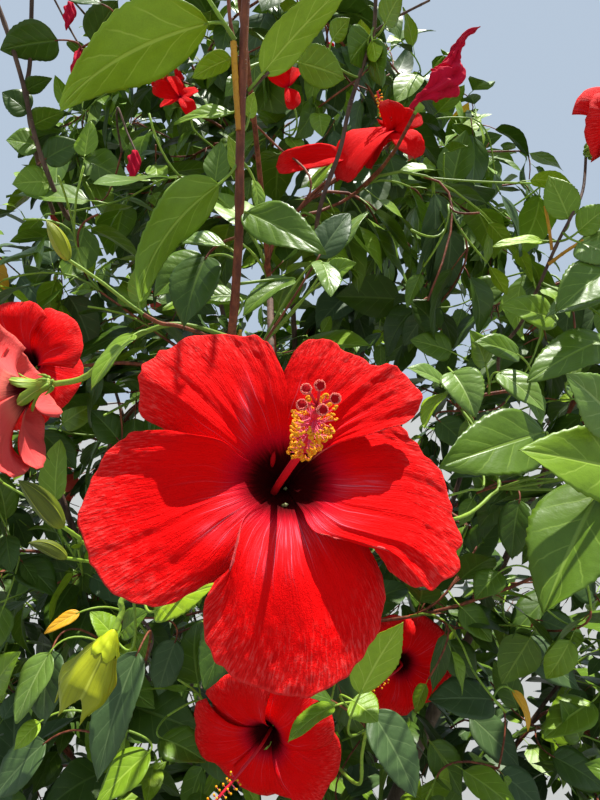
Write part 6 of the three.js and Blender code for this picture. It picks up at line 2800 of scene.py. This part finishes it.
@dataclass(frozen=True)
class NearShoots:
    """The stems, leaves and buds close round the large bloom, each placed where the photograph shows it."""

    crown: Crown
    leaf: LeafShape = LeafShape(45, 17, 0.075, 13)
    far_leaf: LeafShape = LeafShape(23, 9, 0.075, 13)
    far_depth: float = 0.425
    petal_leaf: LeafShape = LeafShape(33, 17, 0.04, 7, 0.66, 0.55)
    leaf_thickness: float = 0.00028
    petiole_radius: float = 0.0008
    width_share: float = 0.82

    def anchors(self, lines: Sequence[Array]) -> Array:
        """Points on the front mass's twigs and on the near stems, which stalks may grow out of.

        Args:
            lines: the near stems' lines.

        Returns:
            The points, one a row.
        """
        share = np.linspace(0.1, 1, 12)
        grown = [twig.course.at(share) for mass in self.crown.masses for twig in mass.twigs]
        return np.concatenate(grown + [line[::2] for line in lines])

    def nearest(self, anchors: Array, point: Array) -> Array:
        """The anchor nearest to a point."""
        return anchors[np.argmin(np.linalg.norm(anchors - point, axis=1))]

    def stem_lines(self) -> list[Array]:
        """The near stems' lines. One that grows on starts at the nearest twig behind its first sight.

        Returns:
            One line a stem.
        """
        lines = []
        for stem in SIGHT_STEMS:
            points = VIEW.points(stem.sights)
            if stem.grows_on:
                behind = points[0] + (points[0] - points[1]) * 0.4 + [0, 0.03, 0]
                start = self.nearest(self.anchors([]), behind)
                onwards = points[0] + (points[0] - points[1]) * 0.35
                between = (start + onwards) / 2 + (points[0] - points[1]) * 0.15
                points = np.concatenate([[start], [between], points])
            lines.append(spline(points, 44))
        return lines

    def leaf_batch(self, leaves: Sequence[SightLeaf]) -> LeafBatch:
        """The near leaves: each runs from base to tip, its normal turned off the viewer by its roll.

        Args:
            leaves: the leaves' sights.

        Returns:
            The same leaves, ready to be laid.
        """
        bases, tips = (VIEW.points([getattr(leaf, end) for leaf in leaves]) for end in ("base", "tip"))
        chord = tips - bases
        reach = np.linalg.norm(chord, axis=1)
        ahead = unit(chord)
        towards = np.array(VIEW.eye) - (bases + tips) / 2
        facing = unit(towards - (towards * ahead).sum(1)[:, None] * ahead)
        aside = np.cross(ahead, facing)
        roll = np.radians([leaf.roll for leaf in leaves])[:, None]
        up = np.sign(np.sin(roll) * aside[:, 2:])
        normal = np.cos(roll) * facing + up * np.sin(roll) * aside
        bend = np.array([leaf.bend for leaf in leaves])
        half = bend / 2
        heading = unit(ahead * np.cos(half)[:, None] + normal * np.sin(half)[:, None])
        normal = np.cross(np.cross(heading, normal), heading)
        arc = reach * half / np.sin(half)
        random = np.random.default_rng(71)
        return LeafBatch(
            roots=bases,
            headings=heading,
            normals=unit(normal),
            lengths=arc,
            widths=np.array([leaf.width for leaf in leaves]) / 1000 * self.width_share,
            bends=bend,
            folds=np.array([leaf.fold for leaf in leaves]),
            twists=np.array([leaf.twist for leaf in leaves]),
            waves=random.uniform(0, 6.28, len(leaves)),
            tones=np.array([leaf.tone for leaf in leaves]),
        )

    def petioles(self, batch: LeafBatch, anchors: Array) -> Surface:
        """A curved stalk from the nearest twig to each near leaf's base.

        Args:
            batch: the leaves.
            anchors: where stalks may start.

        Returns:
            The stalks as one surface.
        """
        behind = batch.roots - batch.headings * 0.012
        starts = np.array([self.nearest(anchors, place) for place in behind])
        ends = batch.roots + batch.headings * 0.003
        reach = np.linalg.norm(ends - starts, axis=1)[:, None]
        bends = batch.roots - batch.headings * reach * 0.45
        t = np.linspace(0, 1, 14)[None, :, None]
        path = (1 - t) ** 2 * starts[:, None] + 2 * t * (1 - t) * bends[:, None] + t**2 * ends[:, None]
        radii = np.tile(self.petiole_radius * np.linspace(1.25, 0.85, 14), (len(path), 1))
        tones = np.where(np.isin(batch.tones, (DEEP, BLUISH)), REDDISH, GREEN)
        return tubes(path, radii, 7, tones)

    def bud(self, bud: SightBud, crumple: float = 0.0) -> Surface:
        """A closed bud: a pointed spindle, its five sepals' edges raised a little, crumpled or not.

        Args:
            bud: its sights and its radius.
            crumple: how crumpled its skin is, from 0.

        Returns:
            The bud.
        """
        foot, tip = VIEW.points([bud.foot, bud.tip])
        share = np.linspace(0, 1, 40)
        turn = turns(50)[None]
        body = 1.62 * np.clip(share + 0.02, 0, 1) ** 0.55 * (1.002 - share) ** 0.95
        edges = 1 + 0.09 * np.abs(np.cos(2.5 * turn)) ** 8 * smooth(share, 0.04, 0.3)[:, None]
        edges = edges * (1 + crumple * np.sin(turn * 3 + share[:, None] * 6)
                         * np.sin(share[:, None] * 11 + turn))
        arch = np.array([0, 0, 0.002]) * np.sin(math.pi * share)[:, None]
        path = foot + (tip - foot) * share[:, None] + arch
        return tubes(path[None], (bud.radius / 1000 * body[:, None] * edges)[None], 50)

    def open_bud(
        self, bud: SightBud, lobes: int = 5, depth: float = 0.3, start: float = 0.5, rise: float = 0.62
    ) -> Surface:
        """An opened cup of sepals: it widens fast from its foot, and its rim is cut into pointed lobes.

        Args:
            bud: where it is.
            lobes: how many lobes its rim has.
            depth: how deep the rim is cut, as a share of the length.
            start: how far the lobes are turned.
            rise: the share of its length over which it widens.

        Returns:
            A sheet, closed round its axis.
        """
        foot, tip = VIEW.points([bud.foot, bud.tip])
        axis = unit(tip - foot)
        turn = turns(90)[None]
        share = np.linspace(0, 1, 34)[:, None]
        peak = 1 - np.abs((turn * lobes / (2 * math.pi) + start) % 1.0 - 0.5) * 2
        height = share * (1 - depth + depth * peak**1.25)
        swell = np.minimum(1, (height / rise + 0.03)) ** 0.8 * (1 - 0.34 * smooth(height, 0.62, 1.0))
        ridge = 1 + 0.07 * peak**6 - 0.1 * (1 - peak) ** 4 * smooth(height, 0.1, 0.5)
        radius = bud.radius / 1000 * swell * ridge * (1 + 0.04 * np.sin(height * 19 + turn * 3))
        points = foot + radius[..., None] * around(axis, turn) + height[..., None] * (tip - foot)
        return closed_sheet(points, turn / (2 * math.pi) + start / lobes, share)

    def build(self, palette: Palette) -> None:
        """Makes the near stems, leaves and buds.

        Args:
            palette: the materials.
        """
        lines = self.stem_lines()
        stems = []
        for stem, line in zip(SIGHT_STEMS, lines):
            share = np.linspace(0, 1, len(line))
            knots = 1 + 0.16 * np.maximum(0, np.cos(share * 30)) ** 8
            radii = (stem.foot_radius + (stem.tip_radius - stem.foot_radius) * share) / 1000 * knots
            stems.append(tubes(line[None], radii[None], 14, np.array([stem.tone])))
        batch = self.leaf_batch(SIGHT_LEAVES)
        anchors = self.anchors(lines)
        make_piece("near_stems", Surface.joined(stems + [self.petioles(batch, anchors)]), palette.stems)
        close = [leaf for leaf in SIGHT_LEAVES if leaf.base[2] < self.far_depth]
        farther = [leaf for leaf in SIGHT_LEAVES if leaf.base[2] >= self.far_depth]
        for name, leaf, leaves in (("near_leaves", self.leaf, close),
                                   ("farther_leaves", self.far_leaf, farther)):
            surface = leaf.surface(self.leaf_batch(leaves))
            make_piece(name, surface, palette.leaves, (), self.leaf_thickness)
        wilted = self.petal_leaf.surface(self.leaf_batch(SIGHT_PETALS))
        wilted.tones = [np.zeros(len(block), int) for block in wilted.faces]
        numbers = (wilted.uv[:, 1], 1.0 + 3.0 * wilted.uv[:, 1], 0 * wilted.uv[:, 1])
        wilted.petal = np.stack(numbers, -1)
        furled = Surface.joined([self.bud(bud, 0.5) for bud in SIGHT_FURLED])
        furled.petal = np.tile((0.5, 2.4, 0.0), (len(furled.points), 1))
        make_piece("far_furled", furled, [palette.petal_wilted])
        make_piece("wilted_petals", wilted, [palette.petal], (), self.leaf_thickness,
                   palette.petal_back)
        for name, lime, finish in (("buds", False, palette.bud), ("young_buds", True, palette.open_bud)):
            closed = [self.bud(bud) for bud in SIGHT_BUDS if not bud.opening and bud.lime == lime]
            make_piece(name, Surface.joined(closed), [finish])
        for bud in SIGHT_BUDS:
            if bud.opening:
                make_piece("open_bud", self.open_bud(bud), [palette.open_bud], (), 0.0005)
        cup = self.open_bud(OPEN_BUD_CUP, 5, 0.36, 0.0, 1.3)
        make_piece("open_bud_cup", cup, [palette.cup], (), CALYX_THICKNESS)


# Studio


@dataclass(frozen=True)
class Studio:
    """A plain pale floor, soft light from high up, and the camera at the photograph's place."""

    floor_half: float = 400.0
    floor_colour: Colour = (0.2, 0.205, 0.2)
    sky_colour: Colour = (0.68, 0.82, 1.0)
    sky_strength: float = 0.7
    light_way: Triple = (-0.215, -0.13, -0.968)
    light_strength: float = 7.6
    light_width: float = 0.7
    light_colour: Colour = (1.0, 0.97, 0.92)
    lens: float = 27.04
    sensor: float = 36.0

    def build(self) -> None:
        """Lays the floor, sets the light and places the camera."""
        half = self.floor_half
        corners = np.array([[-half, -half, 0.0], [half, -half, 0.0], [half, half, 0.0], [-half, half, 0.0]])
        mesh = bpy.data.meshes.new("floor")
        mesh.from_pydata(corners.tolist(), [], [(0, 1, 2, 3)])
        floor = bpy.data.objects.new("floor", mesh)
        bpy.context.scene.collection.objects.link(floor)
        shader = Shader("floor_pale")
        speck = shader.noise(shader.object_place(), 3.0)
        colour = shader.mix(speck * 0.1, self.floor_colour, tuple(c * 0.9 for c in self.floor_colour))
        mesh.materials.append(shader.surface(Base_Color=colour, Roughness=0.9))
        world = bpy.data.worlds.new("studio")
        bpy.context.scene.world = world
        world.use_nodes = True
        background = world.node_tree.nodes["Background"]
        background.inputs["Color"].default_value = (*self.sky_colour, 1.0)
        background.inputs["Strength"].default_value = self.sky_strength
        sun = bpy.data.lights.new("key", "SUN")
        sun.energy = self.light_strength
        sun.angle = math.radians(self.light_width)
        sun.color = self.light_colour
        lamp = bpy.data.objects.new("key", sun)
        lamp.rotation_mode = "QUATERNION"
        lamp.rotation_quaternion = Vector(self.light_way).to_track_quat("-Z", "Y")
        bpy.context.scene.collection.objects.link(lamp)
        lens = bpy.data.cameras.new("camera")
        lens.lens = self.lens
        lens.sensor_width = self.sensor
        lens.clip_start = 0.01
        camera = bpy.data.objects.new("camera", lens)
        camera.location = VIEW.eye
        camera.rotation_euler = (math.pi / 2, 0.0, 0.0)
        bpy.context.scene.collection.objects.link(camera)
        bpy.context.scene.camera = camera
        bpy.context.scene.view_settings.view_transform = "Standard"


def main() -> None:
    """Grows and dresses the shrub, then sets the studio round it."""
    logging.basicConfig(level=logging.INFO, format="%(message)s")
    crown = Crown()
    crown.grow()
    blooms = SmallBlooms(crown)
    blooms.place()
    FineGrowth().grow(crown)
    counts = [sum(len(getattr(mass, kind)) for mass in crown.masses) for kind in ("twigs", "blooms")]
    LOG.info("%d twigs and %d blooms", *counts)
    palette = Palette()
    Wood(crown).build(palette)
    Foliage(crown).build(palette)
    FrontBloom(crown).build(palette)
    blooms.build(palette)
    NearShoots(crown).build(palette)
    Studio().build()


if __name__ == "__main__":
    main()
